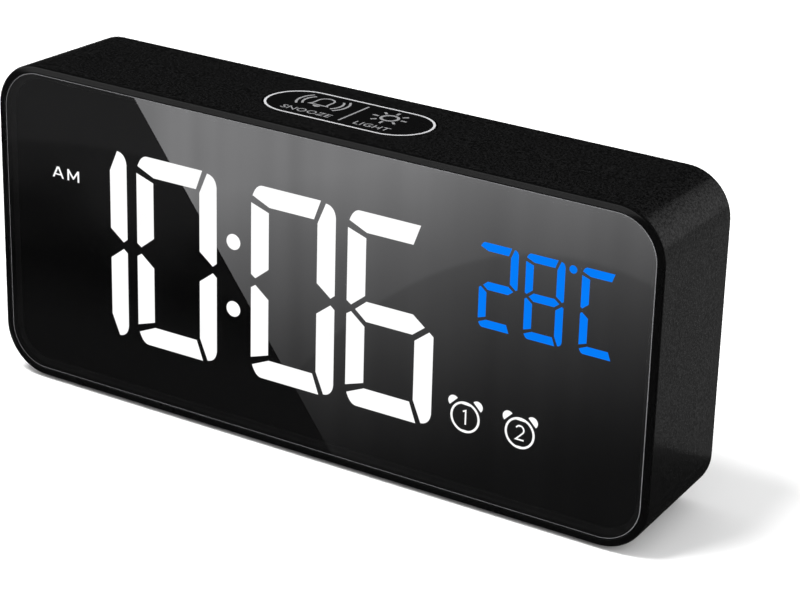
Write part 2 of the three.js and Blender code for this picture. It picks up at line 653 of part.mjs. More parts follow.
// A narrowing coil from a contact plate to the flat end of a cell.
function contactSpring(side, row) {
  const start = BAY.halfLength - 0.75;
  const length = 2 * BAY.halfLength - CELL.length - 1.85;
  const [turns, steps] = [2.5, 25];
  const points = Array.from({ length: steps + 1 }, (_, k) => {
    const t = k / steps;
    const radius = 3.6 - 1.5 * t;
    const angle = 2 * Math.PI * turns * t;
    const x = side * (start - length * t);
    return [x, CELL.d + radius * Math.cos(angle), cellZ(row) + radius * Math.sin(angle)];
  });
  return swept(points, circle(0, 0, 0.4), 20);
}

// A contact plate at one end of the cells, from one row up to another.
const contactPlate = (side, low, high) =>
  sideBox(side, BAY.halfLength - 0.4, BAY.halfLength - 0.1, CELL.d - 4.4, CELL.d + 4.4, cellZ(low) - 4.4,
    cellZ(high) + 4.4);

// The tail of an end contact, through a slot in the tray's side wall. `play` widens it into the slot.
const contactTail = (side, row, play = 0) =>
  sideBox(side, BAY.halfLength - 0.3, BAY.halfLength + BAY.wall + 1.2, CELL.d - 4.3 - play, CELL.d - 4 + play,
    cellZ(row) + 1 - play, cellZ(row) + 3 + play);

function buildContacts() {
  const look = MATERIALS.nickel;
  add('battery_contact_positive', contactPlate(-1, 1, 1).add(contactTail(-1, 1)), look);
  add('battery_link_left', contactPlate(-1, -1, 0).add(contactSpring(-1, 0)), look);
  add('battery_link_right', contactPlate(1, 0, 1).add(contactSpring(1, 1)), look);
  const negative = [contactPlate(1, -1, -1), contactSpring(1, -1), contactTail(1, -1)];
  add('battery_contact_negative', union(negative), look);
}

// A wire from the tail of each end contact up to the main board.
function buildBatteryLeads() {
  const wire = circle(0, 0, 0.6);
  const side = BAY.halfLength + BAY.wall + 1.8;
  const start = CELL.d - 4.15;
  const end = [MAIN_BOARD.front - 0.45, 46.8];
  const red = [[-side, start, cellZ(1) + 2], [-side - 0.6, 16.6, 39.4], [-side + 1, 15.4, 43.4],
    [-side + 2, ...end]];
  add('battery_lead_positive', swept(red, wire, 8), MATERIALS.redWire);
  const black = [[side, start, cellZ(-1) + 2], [side + 2, 15.4, 22], [side + 3, 14.8, 36],
    [side + 2, 15.6, 44.4], [side + 1, ...end]];
  add('battery_lead_negative', swept(black, wire, 9), MATERIALS.blackWire);
}

// ---------- back cover ----------

const bayBox = (grow, d0, d1) => box(-BAY.halfLength - grow, BAY.halfLength + grow, d0, d1,
  BAY.midZ - BAY.halfHeight - grow, BAY.midZ + BAY.halfHeight + grow);

// The battery tray: an open box fixed to the inside of the cover.
function buildTray() {
  const walls = bayBox(BAY.wall, BAY.floor - BAY.wall, COVER.front);
  const room = bayBox(0, BAY.floor, COVER.front + 1);
  const slots = [[-1, 1], [1, -1]].map(([side, row]) => contactTail(side, row, 0.3));
  add('battery_tray', cut(walls, [room, ...slots]), MATERIALS.coverBlack);
}

function grilleHoles() {
  const pitch = 3;
  const spots = [[0, 0]];
  for (const ring of [1, 2]) {
    for (let k = 0; k < 6 * ring; k++) {
      const angle = 2 * Math.PI * k / (6 * ring);
      spots.push([ring * pitch * Math.cos(angle), ring * pitch * Math.sin(angle)]);
    }
  }
  return spots.map(([x, z]) => rod(SPEAKER.x + x, SPEAKER.z + z, 0.8, COVER.front - 1, COVER.back + 1, 6));
}

// The seat of the battery door: its recess, the room for its hinge and the notch for a finger.
function doorOpenings() {
  const half = DOOR.halfLength + DOOR.gap;
  const bottom = HINGE.z - HINGE.radius - DOOR.gap;
  const { back, front } = COVER;
  return [
    box(-half, half, back - DOOR.thickness - 0.1, back + 1, bottom, DOOR.topZ + DOOR.gap),
    box(-half, half, front - 0.1, back + 1, bottom, HINGE.z + HINGE.radius + 0.2),
    hingeBar(HINGE.pinRadius + 0.2, half + HINGE.pinLength + 0.2, 8),
    box(-6, 6, back - 1.2, back + 1, DOOR.topZ - 1, DOOR.topZ + 2),
  ];
}

// Openings right through the cover for the controls, the power inlet and the air.
function controlOpenings() {
  const through = [COVER.front - 1, COVER.back + 1];
  const buttons = buttonXs().map((x) => rod(x, BUTTON.z, BUTTON.radius + 0.3, ...through, 14));
  const { x: switchX, z: switchZ, travel } = SLIDE_SWITCH;
  const slotHalf = travel / 2 + 1.8;
  const slot = box(switchX - slotHalf, switchX + slotHalf, ...through, switchZ - 1.55, switchZ + 1.55);
  const inlet = alongY(capsule(INLET.width + 0.6, INLET.height + 0.6, INLET.x, INLET.z), ...through);
  const [halfWidth, halfHeight] = [VENT.width / 2, VENT.height / 2];
  const vents = Array.from({ length: VENT.count }, (_, k) => {
    const x = VENT.x + (k - (VENT.count - 1) / 2) * VENT.pitch;
    return box(x - halfWidth, x + halfWidth, ...through, VENT.z - halfHeight, VENT.z + halfHeight);
  });
  return [...buttons, slot, inlet, ...vents];
}

function coverScrewHoles() {
  return corners(BOSS.x, BOSS.z).flatMap(([x, z]) => [
    rod(x, MID_Z + z, 1.5, COVER.front - 1, COVER.back, 8),
    rod(x, MID_Z + z, 2.6, COVER.back - 1.3, COVER.back + 1, 12),
  ]);
}

// Posts that hold the main board, each with a thin pin through it.
const boardPosts = () => BOARD_POSTS.map(([x, z]) =>
  rod(x, z, 1.9, MAIN_BOARD.back + 0.05, COVER.front + 0.2, 8)
    .add(rod(x, z, 0.9, MAIN_BOARD.front - 0.5, COVER.front, 6)));

function buildBackCover() {
  const inset = WALL + draftAt(COVER.back) + COVER.gap;
  const { front } = COVER;
  const plate = caseLoft([[front, inset], [COVER.back - 0.3, inset], [COVER.back, inset + 0.3]]);
  const ring = rod(SPEAKER.x, SPEAKER.z, SPEAKER.radius + 1.3, front - 2.5, front + 0.2, 16)
    .subtract(rod(SPEAKER.x, SPEAKER.z, SPEAKER.radius + 0.3, front - 3, front, 16));
  const clamps = [-73.5, 73.5].map((x) => rod(x, MID_Z, 1.8, DISPLAY_BOARD.back + 0.1, front + 0.2, 12));
  const openings = [bayBox(0, front - 1, COVER.back + 1), ...doorOpenings(), ...controlOpenings(),
    ...grilleHoles(), ...coverScrewHoles()];
  add('rear_cover', cut(union([plate, ring, ...boardPosts(), ...clamps]), openings), MATERIALS.coverBlack);
}

function buildDoor() {
  const { halfLength, thickness, topZ } = DOOR;
  const { back } = COVER;
  const plate = box(-halfLength, halfLength, back - thickness, back, HINGE.z, topZ);
  const knuckle = hingeBar(HINGE.radius, halfLength, 16);
  const pins = hingeBar(HINGE.pinRadius, halfLength + HINGE.pinLength, 8);
  const snapRidge = box(-5, 5, back - 1.5, back - 1.25, topZ - 0.2, topZ + 0.12);
  const stiffeners = [-16, 0, 16].map((x) =>
    box(x - 0.5, x + 0.5, back - thickness - 0.25, back - thickness + 0.1, 10, 39));
  const grip = [33, 34.8, 36.6, 38.4].map((z) => box(-5, 5, back - 0.4, back + 1, z, z + 0.8));
  add('battery_door', cut(union([plate, knuckle, pins, snapRidge, ...stiffeners]), grip), MATERIALS.coverBlack);
}

function buildCoverScrews() {
  const seat = COVER.back - 1.25;
  const profile = [[0, -11], [0.9, -10], [1.05, -9.4], [1.05, 0], [2.3, 0], [2.3, 0.6], [1.7, 1.05], [0, 1.15]];
  corners(BOSS.x, BOSS.z).forEach(([x, z], k) => {
    const screw = turned(profile, 12, 'y', x, seat, MID_Z + z);
    const cross = [[1.5, 0.3], [0.3, 1.5]].map(([dx, dz]) =>
      box(x - dx, x + dx, seat + 0.4, seat + 2, MID_Z + z - dz, MID_Z + z + dz));
    add(`cover_screw_${k + 1}`, cut(screw, cross), MATERIALS.steel);
  });
}

buildCase();
buildLens();
buildMask();
buildLightGuides();
buildFilm();
buildReflector();
buildDisplayBoard();
buildSnooze();
buildSnoozeBoard();
buildMainBoard();
buildMicrocontroller();
buildCapacitor();
buildThermistor();
buildBoardHeader();
buildButtons();
buildSlideSwitch();
buildInlet();
buildSpeaker();
buildCells();
buildContacts();
buildBatteryLeads();
buildTray();
buildBackCover();
buildDoor();
buildCoverScrews();

export default clock;
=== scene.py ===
"""Mirror-front alarm clock: the visual model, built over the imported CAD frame.

Lengths are in millimetres and become metres as each mesh is made. X is the width, +Y points
to the back and Z is up. A depth is measured backwards from the front edge of the case.
"""

import math

import bmesh
import bpy
from mathutils import Matrix, Vector
from mathutils.geometry import tessellate_polygon


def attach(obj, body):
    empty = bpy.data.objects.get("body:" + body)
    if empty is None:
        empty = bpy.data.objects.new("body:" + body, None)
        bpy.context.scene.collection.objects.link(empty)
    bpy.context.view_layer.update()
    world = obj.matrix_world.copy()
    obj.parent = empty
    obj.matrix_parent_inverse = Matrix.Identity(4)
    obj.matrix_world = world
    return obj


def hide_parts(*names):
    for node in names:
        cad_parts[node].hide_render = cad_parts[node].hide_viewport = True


MM = 0.001

# Case
WIDTH = 160.0
HEIGHT = 71.7
DEPTH = 30.4
CORNER = 10.7
DRAFT = 0.94
WALL = 2.0
RIM = 1.6
RIM_SLOPE = 0.2
FOOT_HEIGHT = 0.8
FRONT = -DEPTH / 2
MID_Z = FOOT_HEIGHT + HEIGHT / 2
TOP_Z = FOOT_HEIGHT + HEIGHT

# Front layers, as depths
LENS_FRONT = 0.3
LENS_BACK = 1.8
LIP_FRONT = 1.95
LIP_BACK = 3.4
LIP_WIDTH = 1.7
MASK_FRONT = 2.0
MASK_BACK = 2.5

# Display
DIGIT_WIDTH = 20.9
DIGIT_HEIGHT = 43.0
BAR = 4.6
DIGIT_Z = MID_Z + 0.25
# Name, figure and left edge of each large digit
TIME_DIGITS = [
    ("hours_tens", "1", -66.6),
    ("hours_units", "0", -43.3),
    ("minutes_tens", "0", -13.9),
    ("minutes_units", "6", 9.7),
]
COLON_X = -18.25
COLON_RISE = 7.5
COLON_RADIUS = 1.85
LETTER_Z = DIGIT_Z + 11.5
LETTER_A_X = -65.95
LETTER_M_X = -61.85
ALARM_XS = [38.4, 50.95]
ALARM_Z = DIGIT_Z - 16.9
SMALL_DIGITS = [("2", 40.3), ("8", 50.5), ("C", 62.7)]
SMALL_SCALE = 0.42
SMALL_Z = DIGIT_Z + 12.45
DEGREE_X = 60.85
DEGREE_RADIUS = 0.95
GLOW_INSET = 0.12
GLOW_RISE = 0.03

# Snooze bar
SNOOZE_X = -0.2
SNOOZE_Y = FRONT + 15.3
SNOOZE_LENGTH = 39.2
SNOOZE_WIDTH = 16.4
SNOOZE_GAP = 0.25
SNOOZE_STEM_Z = 64.9
PRINT_HEIGHT = 0.02

# Back
COVER_FRONT = 26.6
COVER_BACK = 29.2
COVER_GAP = 0.25
BUTTON_Z = 51.0
BUTTON_RADIUS = 3.0
BUTTON_XS = [-36.0, -20.0, -4.0, 12.0, 28.0]
BUTTON_NAMES = ["set", "up", "down", "alarm", "mode"]
SWITCH_X = 60.0
SWITCH_TRAVEL = 3.0
INLET_X = 57.0
INLET_Z = 17.0
INLET_WIDTH = 9.0
INLET_HEIGHT = 3.2
SPEAKER_X = -52.0
SPEAKER_Z = 26.0
VENT_XS = [40.1, 42.7, 45.3, 47.9]
VENT_Z = 14.0
SCREW_X = 72.2
SCREW_Z = 28.4
BAY_HALF_LENGTH = 25.3
BAY_Z = 24.0
BAY_HALF_HEIGHT = 17.0
BAY_FLOOR = 16.4
BAY_WALL = 1.2
DOOR_HALF_LENGTH = 27.0
DOOR_THICKNESS = 1.5
DOOR_TOP = 42.4
HINGE_Z = 6.8
HINGE_DEPTH = 28.0
HINGE_RADIUS = 1.2
DOOR_GAP = 0.2
SEAT_LOW = HINGE_Z - HINGE_RADIUS - DOOR_GAP
CELL_RADIUS = 5.2
CELL_LENGTH = 44.5
CELL_PITCH = 11.0
CELL_DEPTH = 22.1

SHARP_ANGLE = math.radians(32)


# ----- outlines -----

def arc(cx, cy, radius, start, end, steps):
    """Points on a circle between two angles in degrees, both ends included."""
    angles = [math.radians(start + (end - start) * k / steps) for k in range(steps + 1)]
    return [(cx + radius * math.cos(a), cy + radius * math.sin(a)) for a in angles]


def rounded_rect(width, height, radius, cx, cy, steps):
    """A rectangle with round corners, anticlockwise."""
    dx, dy = width / 2 - radius, height / 2 - radius
    corners = [(dx, dy, 0), (-dx, dy, 90), (-dx, -dy, 180), (dx, -dy, 270)]
    return [p for x, y, a in corners for p in arc(cx + x, cy + y, radius, a, a + 90, steps)]


def capsule(length, width, cx, cy, steps):
    """A bar with semicircular ends, anticlockwise."""
    radius, dx = width / 2, (length - width) / 2
    return arc(cx + dx, cy, radius, -90, 90, steps) + arc(cx - dx, cy, radius, 90, 270, steps)


def circle(cx, cy, radius, steps=48):
    return arc(cx, cy, radius, 0, 360, steps)[:-1]


def bend(start, control, end):
    """A smooth corner from start to end that leans towards control."""
    steps = 8
    points = []
    for k in range(steps + 1):
        t = k / steps
        weights = (1 - t) ** 2, 2 * t * (1 - t), t * t
        corners = start, control, end
        points.append(tuple(sum(w * corner[i] for w, corner in zip(weights, corners)) for i in (0, 1)))
    return points


def hole(points):
    """The same outline turned the other way, as holes are."""
    return points[::-1]


def moved(points, inset):
    """The outline with every edge moved inset into the material."""
    result = []
    count = len(points)
    for k, (x, y) in enumerate(points):
        px, py = points[k - 1]
        nx, ny = points[(k + 1) % count]
        before = Vector((py - y, x - px)).normalized()
        after = Vector((y - ny, nx - x)).normalized()
        push = (before + after) / (1 + before.dot(after))
        result.append((x + inset * push.x, y + inset * push.y))
    return result


def anticlockwise(points):
    """The outline, turned round where it runs clockwise."""
    area = sum(a[0] * b[1] - b[0] * a[1] for a, b in zip(points, points[1:] + points[:1]))
    return points if area > 0 else points[::-1]


def case_outline(inset):
    return rounded_rect(WIDTH - 2 * inset, HEIGHT - 2 * inset, CORNER - inset, 0, MID_Z, 20)


def draft_at(depth):
    return DRAFT * depth / DEPTH


# ----- meshes -----

def upright(x, z, depth):
    """A point of a shape drawn on the front, at a depth."""
    return Vector((x, FRONT + depth, z)) * MM


def level(x, y, z):
    """A point of a shape drawn in plan, at a height."""
    return Vector((x, y, z)) * MM


def on_top(x, y, rise):
    """A point of a shape drawn in plan, laid on the case's sloping top."""
    return Vector((x, y, TOP_Z - draft_at(y - FRONT) + rise)) * MM


def on_back(x, z, rise):
    """A point of a shape as it is read on the back cover."""
    return upright(-x, z, COVER_BACK + rise)


def loft(bm, outlines, levels, place=upright):
    """Adds a closed solid: outlines, holes after the first, carried through (height, inset) levels."""
    rings = []
    for height, inset in levels:
        loops = [moved(points, inset) if inset else points for points in outlines]
        rings.append([[bm.verts.new(place(x, y, height)) for x, y in loop] for loop in loops])
    for lower, upper in zip(rings, rings[1:]):
        join_rings(bm, lower, upper)
    flat = [[Vector((x, y, 0)) for x, y in points] for points in outlines]
    triangles = tessellate_polygon(flat)
    for ring in (rings[0], rings[-1]):
        verts = [v for loop in ring for v in loop]
        for triangle in triangles:
            bm.faces.new([verts[i] for i in triangle])


def join_rings(bm, lower, upper):
    """Adds the walls between matching loops."""
    for a, b in zip(lower, upper):
        for k in range(len(a)):
            n = (k + 1) % len(a)
            bm.faces.new((a[k], a[n], b[n], b[k]))


def turned(bm, profile, sides, place):
    """Adds a solid of revolution. The profile of (radius, height) starts and ends on the axis."""
    first = bm.verts.new(place(0, 0, profile[0][1]))
    last = bm.verts.new(place(0, 0, profile[-1][1]))
    rings = []
    for radius, height in profile[1:-1]:
        rings.append([bm.verts.new(place(x, y, height)) for x, y in circle(0, 0, radius, sides)])
    for a, b in zip(rings, rings[1:]):
        join_rings(bm, [a], [b])
    for k in range(sides):
        n = (k + 1) % sides
        bm.faces.new((first, rings[0][n], rings[0][k]))
        bm.faces.new((last, rings[-1][k], rings[-1][n]))


def along_y(cx, cz):
    """Places a turned solid with its axis along Y."""
    return lambda x, y, depth: upright(cx + x, cz + y, depth)


def along_x(depth, cz):
    """Places a turned solid with its axis along X."""
    return lambda x, y, along: upright(along, cz + y, depth + x)


def mark_edges(bm):
    """Smooths every face and keeps the steep edges crisp."""
    for face in bm.faces:
        face.smooth = True
    for edge in bm.edges:
        edge.smooth = len(edge.link_faces) == 2 and edge.calc_face_angle() < SHARP_ANGLE


def linked(name, data):
    """A new object in the scene."""
    obj = bpy.data.objects.new(name, data)
    bpy.context.collection.objects.link(obj)
    return obj


def made_object(bm, name):
    """An object from a bmesh, which is used up."""
    mesh = bpy.data.meshes.new(name)
    bm.to_mesh(mesh)
    bm.free()
    return linked(name, mesh)


def weigh_normals(obj):
    """Keeps broad flat faces flat beside small rounds."""
    obj.modifiers.new("face_normals", "WEIGHTED_NORMAL").keep_sharp = True


def piece(name, bm, material, body="clock", stands_for=()):
    """A finished piece that rides on a CAD body and stands for CAD nodes."""
    bmesh.ops.remove_doubles(bm, verts=bm.verts, dist=1e-7)
    bmesh.ops.recalc_face_normals(bm, faces=bm.faces)
    mark_edges(bm)
    obj = made_object(bm, name)
    weigh_normals(obj)
    obj.data.materials.append(material)
    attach(obj, body)
    if stands_for:
        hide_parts(*stands_for)
    return obj


def solid(name, outlines, levels, material, stands_for, body="clock"):
    """A piece that is one lofted solid, drawn on the front."""
    bm = bmesh.new()
    loft(bm, outlines, levels)
    return piece(name, bm, material, body, stands_for)


def quarter(steps):
    """Angles from 0 to 90 degrees, in radians."""
    return [math.pi / 2 * k / steps for k in range(steps + 1)]


def soft_edge(height, radius, rise=1, steps=3):
    """Levels of a round edge that ends at a height. With a rise of -1 it is reached from above."""
    curve = [(1 - math.sin(a), 1 - math.cos(a)) for a in quarter(steps)]
    return [(height - rise * radius * drop, radius * inset) for drop, inset in curve]


def rounded_levels(low, high, radius):
    """Levels of a plate whose two outer edges are rounded."""
    return soft_edge(low, radius, -1)[::-1] + soft_edge(high, radius)


def cut(obj, bm):
    """Cuts the bmesh's solids out of an object's mesh."""
    bmesh.ops.recalc_face_normals(bm, faces=bm.faces)
    cutter = made_object(bm, "cutter")
    modifier = obj.modifiers.new("cut", "BOOLEAN")
    modifier.operation = "DIFFERENCE"
    modifier.solver = "EXACT"
    modifier.object = cutter
    graph = bpy.context.evaluated_depsgraph_get()
    result = bpy.data.meshes.new_from_object(obj.evaluated_get(graph))
    obj.modifiers.clear()
    obj.data = result
    bpy.data.objects.remove(cutter)
    sharpen(result)


def sharpen(mesh):
    """Marks the crisp edges again after a cut."""
    bm = bmesh.new()
    bm.from_mesh(mesh)
    mark_edges(bm)
    bm.to_mesh(mesh)
    bm.free()


# ----- materials -----

def new_material(name):
    material = bpy.data.materials.new(name)
    material.use_nodes = True
    tree = material.node_tree
    return material, tree, tree.nodes["Principled BSDF"]


def set_inputs(node, values):
    """Sets a node's inputs by their names."""
    for name, value in values.items():
        node.inputs[name].default_value = value


def noise(tree, scale, detail, stretch=(1, 1, 1)):
    """Noise in the piece's own space, with features about 1/scale metres wide."""
    coords = tree.nodes.new("ShaderNodeTexCoord")
    mapping = tree.nodes.new("ShaderNodeMapping")
    texture = tree.nodes.new("ShaderNodeTexNoise")
    set_inputs(mapping, {"Scale": stretch})
    set_inputs(texture, {"Scale": scale, "Detail": detail})
    tree.links.new(coords.outputs["Object"], mapping.inputs["Vector"])
    tree.links.new(mapping.outputs["Vector"], texture.inputs["Vector"])
    return texture.outputs["Fac"]


def ramped(tree, value, start, end, low=0.0, high=1.0, smooth=False):
    """Maps one range onto another, and holds the value at its ends."""
    node = tree.nodes.new("ShaderNodeMapRange")
    if smooth:
        node.interpolation_type = "SMOOTHSTEP"
    set_inputs(node, {"From Min": start, "From Max": end, "To Min": low, "To Max": high})
    tree.links.new(value, node.inputs["Value"])
    return node.outputs["Result"]


def spread(tree, value, low, high):
    """Maps the middle of the noise, where nearly all of it lies, onto a range."""
    return ramped(tree, value, 0.3, 0.7, low, high)


def blend_colors(tree, value, dark, light):
    """Maps noise onto the colours between two."""
    ramp = tree.nodes.new("ShaderNodeValToRGB")
    ramp.color_ramp.elements[0].position = 0.32
    ramp.color_ramp.elements[0].color = (*dark, 1)
    ramp.color_ramp.elements[1].position = 0.68
    ramp.color_ramp.elements[1].color = (*light, 1)
    tree.links.new(value, ramp.inputs["Fac"])
    return ramp.outputs["Color"]


def bumped(tree, shader, value, strength):
    """Raises the surface by up to a tenth of a millimetre."""
    bump = tree.nodes.new("ShaderNodeBump")
    set_inputs(bump, {"Strength": strength, "Distance": 0.0001})
    tree.links.new(value, bump.inputs["Height"])
    tree.links.new(bump.outputs["Normal"], shader.inputs["Normal"])


def surface(name, color, roughness, grain, contrast, bump,
            metallic=0.0, stretch=(1, 1, 1), specular=0.5):
    """A surface with fine grain, slow wear in its roughness and a little colour variation."""
    material, tree, shader = new_material(name)
    fine = noise(tree, grain, 4, stretch)
    slow = noise(tree, 45, 3)
    dark = tuple(c * (1 - contrast) for c in color)
    light = tuple(min(1, c * (1 + contrast)) for c in color)
    worn = spread(tree, slow, roughness * 0.9, min(1, roughness * 1.1))
    tree.links.new(blend_colors(tree, fine, dark, light), shader.inputs["Base Color"])
    tree.links.new(worn, shader.inputs["Roughness"])
    set_inputs(shader, {"Metallic": metallic, "Specular IOR Level": specular})
    bumped(tree, shader, fine, bump)
    return material


def case_plastic(name):
    """Black plastic with a fine spark-eroded grain and a thin satin sheen that the grain breaks up."""
    color = (0.0036, 0.0036, 0.0037)
    grain = 2200
    material = surface(name, color, 0.5, grain, 0.95, 0.9, specular=0.3)
    tree = material.node_tree
    ramp = tree.nodes["Color Ramp"].color_ramp
    ramp.elements[0].position = 0.42
    ramp.elements[1].position = 0.58
    shader = tree.nodes["Principled BSDF"]
    tree.links.new(spread(tree, noise(tree, grain, 1), 0.35, 1.0), shader.inputs["Coat Weight"])
    set_inputs(shader, {"Coat Roughness": 0.16})
    return material


def glow(name, color, strength):
    """A lit diffuser, very slightly uneven."""
    material, tree, shader = new_material(name)
    set_inputs(shader, {
        "Base Color": (0.001, 0.001, 0.001, 1),
        "Roughness": 0.5,
        "Specular IOR Level": 0.0,
        "Emission Color": (*color, 1),
    })
    uneven = spread(tree, noise(tree, 120, 1), strength * 0.97, strength * 1.03)
    tree.links.new(uneven, shader.inputs["Emission Strength"])
    bumped(tree, shader, noise(tree, 900, 2), 0.05)
    return material


def mirror_film(name):
    """Half-mirror coating: part of the light is reflected, the rest passes."""
    material, tree, shader = new_material(name)
    set_inputs(shader, {"Metallic": 1.0, "Alpha": 0.6})
    film = noise(tree, 25, 2)
    tint = blend_colors(tree, film, (0.49, 0.49, 0.5), (0.51, 0.51, 0.52))
    tree.links.new(tint, shader.inputs["Base Color"])
    tree.links.new(spread(tree, film, 0.01, 0.02), shader.inputs["Roughness"])
    return material


def clear_film(name):
    """The clear sides and back of the pane."""
    material, tree, shader = new_material(name)
    black = (0.02, 0.02, 0.02, 1)
    set_inputs(shader, {"Base Color": black, "Alpha": 0.08, "Specular IOR Level": 0.0})
    tree.links.new(spread(tree, noise(tree, 60, 2), 0.3, 0.5), shader.inputs["Roughness"])
    return material


# Material name, colour, roughness, grain per metre, contrast and bump of the plain finishes.
PLAIN_FINISHES = {
    "smooth": ("smooth_plastic", (0.002, 0.002, 0.0021), 0.28, 3000, 0.3, 0.1),
    "button": ("button_plastic", (0.005, 0.005, 0.0053), 0.42, 3000, 0.2, 0.1),
    # The pane's chamfer is painted light grey: a painted highlight for the light its clear edge
    # catches, which the fill light adds to.
    "lens_edge_highlight": ("cut_acrylic_edge", (0.24, 0.24, 0.25), 0.3, 900, 0.15, 0.05),
    "print": ("white_print", (0.45, 0.45, 0.46), 0.6, 2500, 0.08, 0.1),
    "grey_print": ("grey_print", (0.22, 0.22, 0.225), 0.6, 2500, 0.08, 0.1),
    "film": ("diffuser_sheet", (0.8, 0.8, 0.78), 0.5, 600, 0.03, 0.05),
    "white_plastic": ("white_plastic", (0.72, 0.72, 0.69), 0.5, 1200, 0.04, 0.1),
    "board": ("green_board", (0.012, 0.09, 0.035), 0.35, 350, 0.35, 0.15),
    "chip": ("chip_black", (0.012, 0.012, 0.013), 0.45, 2000, 0.2, 0.2),
    "tape": ("black_tape", (0.015, 0.015, 0.015), 0.85, 900, 0.2, 0.3),
    "rubber": ("foot_rubber", (0.008, 0.008, 0.008), 0.85, 1400, 0.2, 0.3),
    "wrap": ("cell_wrap", (0.02, 0.13, 0.04), 0.28, 300, 0.12, 0.03),
    "red_wire": ("red_insulation", (0.35, 0.01, 0.01), 0.4, 700, 0.08, 0.05),
    "black_wire": ("black_insulation", (0.01, 0.01, 0.01), 0.4, 700, 0.1, 0.05),
    "bead": ("sensor_bead", (0.015, 0.025, 0.06), 0.25, 500, 0.1, 0.05),
}


def build_metals():
    """Brushed steel and nickel, and the metal foil of the cells."""
    steel = (0.5, 0.51, 0.53)
    nickel = (0.62, 0.6, 0.55)
    brass = (0.45, 0.33, 0.08)
    return {
        "steel": surface("screw_steel", steel, 0.3, 500, 0.12, 0.05, 1.0, (1, 1, 8)),
        "nickel": surface("nickel", nickel, 0.24, 600, 0.1, 0.05, 1.0, (6, 1, 1)),
        "wrap_band": surface("cell_band", brass, 0.3, 400, 0.1, 0.03, 0.6),
    }


def build_materials():
    """Every finish by its short name."""
    matt = (0.007, 0.007, 0.0074)
    ink = (0.002, 0.002, 0.0022)
    look = {name: surface(*values) for name, values in PLAIN_FINISHES.items()}
    look.update(build_metals())
    look["case"] = case_plastic("case_plastic")
    look["cover"] = surface("cover_plastic", matt, 0.55, 3000, 0.4, 0.5, specular=0.4)
    look["mask"] = surface("mask_print", ink, 0.9, 1800, 0.2, 0.05, specular=0.1)
    look["lens"] = mirror_film("mirror_film")
    look["lens_back"] = clear_film("clear_acrylic")
    look["white_glow"] = glow("white_glow", (1.0, 1.0, 1.0), 1.03)
    look["blue_glow"] = glow("blue_glow", (0.0, 0.2, 0.94), 1.0)
    return look


# ----- case and lens -----

def case_profile():
    """(depth, inset) all the way round the wall: outside, back edge, inside, lip and lens recess."""
    edge = 0.5
    front = [(RIM_SLOPE + edge * (1 - math.cos(a)), edge * (1 - math.sin(a))) for a in quarter(5)]
    back = [(depth, DRAFT + inset) for depth, inset in soft_edge(DEPTH, edge, steps=5)]
    inside = [
        (DEPTH, WALL + DRAFT - 0.2),
        (DEPTH - 0.2, WALL + DRAFT),
        (LIP_BACK, WALL + draft_at(LIP_BACK)),
        (LIP_BACK, RIM + LIP_WIDTH),
        (LIP_FRONT, RIM + LIP_WIDTH),
        (LIP_FRONT, RIM),
        (0.2, RIM),
        (0.06, RIM - 0.06),
        (0.0, RIM - 0.2),
    ]
    return front + back + inside


def build_case(look):
    """The shell, smooth on its front rim and grained elsewhere, with the opening for the bar."""
    bm = bmesh.new()
    rings = []
    for depth, inset in case_profile():
        rings.append([bm.verts.new(upright(x, z, depth)) for x, z in case_outline(inset)])
    for a, b in zip(rings, rings[1:] + rings[:1]):
        join_rings(bm, [a], [b])
    case = piece("case_shell", bm, look["case"], stands_for=["housing"])
    case.data.materials.append(look["smooth"])
    for face in case.data.polygons:
        if face.center.y < (FRONT + RIM_SLOPE + 0.4) * MM:
            face.material_index = 1
    cutter = bmesh.new()
    gaps = 2 * SNOOZE_GAP
    opening = capsule(SNOOZE_LENGTH + gaps, SNOOZE_WIDTH + gaps, SNOOZE_X, SNOOZE_Y, 32)
    loft(cutter, [opening], [(MID_Z, 0), (TOP_Z + 5, 0)], level)
    cut(case, cutter)
    weigh_normals(case)


def build_lens(look):
    """The pane: a mirror film in front, a chamfer painted light grey as a painted highlight of its
    clear edge, and clear sides and back.
    """
    outline = case_outline(RIM + 0.15)
    chamfer = [(LENS_FRONT, 0.14), (LENS_FRONT + 0.02, 0.05), (LENS_FRONT + 0.1, 0)]
    levels = chamfer + [(LENS_BACK, 0)]
    lens = solid("mirror_lens", [outline], levels, look["lens"], ["front_lens"])
    # Painted highlight: the chamfer round the pane takes the light grey edge finish.
    lens.data.materials.append(look["lens_edge_highlight"])
    lens.data.materials.append(look["lens_back"])
    for face in lens.data.polygons:
        if face.center.y > (FRONT + LENS_FRONT + 0.1) * MM:
            face.material_index = 2
        elif face.normal.y > -0.999:
            face.material_index = 1


# ----- display -----

def upper_segments():
    """Top, upper right and upper left bars, from the digit's left edge and its middle height."""
    top = DIGIT_HEIGHT / 2
    w = DIGIT_WIDTH
    top_bar = bend((0.3, top - 2.7), (1.2, top), (2.9, top))
    top_bar += [(w - 3.6, top), (w - 5.3, top - BAR), (BAR, top - BAR)]
    right_bar = bend((w - 2.6, top - 0.35), (w - 0.3, top - 0.5), (w, top - 3.1))
    right_bar += [(w, 1.5), (w - 1.1, 0.6), (w - BAR, 3.3), (w - BAR, top - 5.1)]
    left_bar = [(0, top - 4.1), (0, 1.4), (1.2, 0.6), (BAR, 3.3), (BAR, top - 5.6)]
    return top_bar, right_bar, left_bar


def flipped(points):
    """The outline upside down."""
    return [(x, -y) for x, y in points]


def segment_outlines():
    """The seven bars by their usual letters."""
    a, b, f = upper_segments()
    half = BAR / 2
    left = BAR + 0.2
    right = DIGIT_WIDTH - BAR - 0.4
    g = [(2, 0), (left, half), (right, half), (DIGIT_WIDTH - 2, 0), (right, -half), (left, -half)]
    return {"a": a, "b": b, "c": flipped(b), "d": flipped(a), "e": flipped(f), "f": f, "g": g}


LIT = {"0": "abcdef", "1": "bc", "2": "abged", "6": "acdefg", "8": "abcdefg", "C": "adef"}


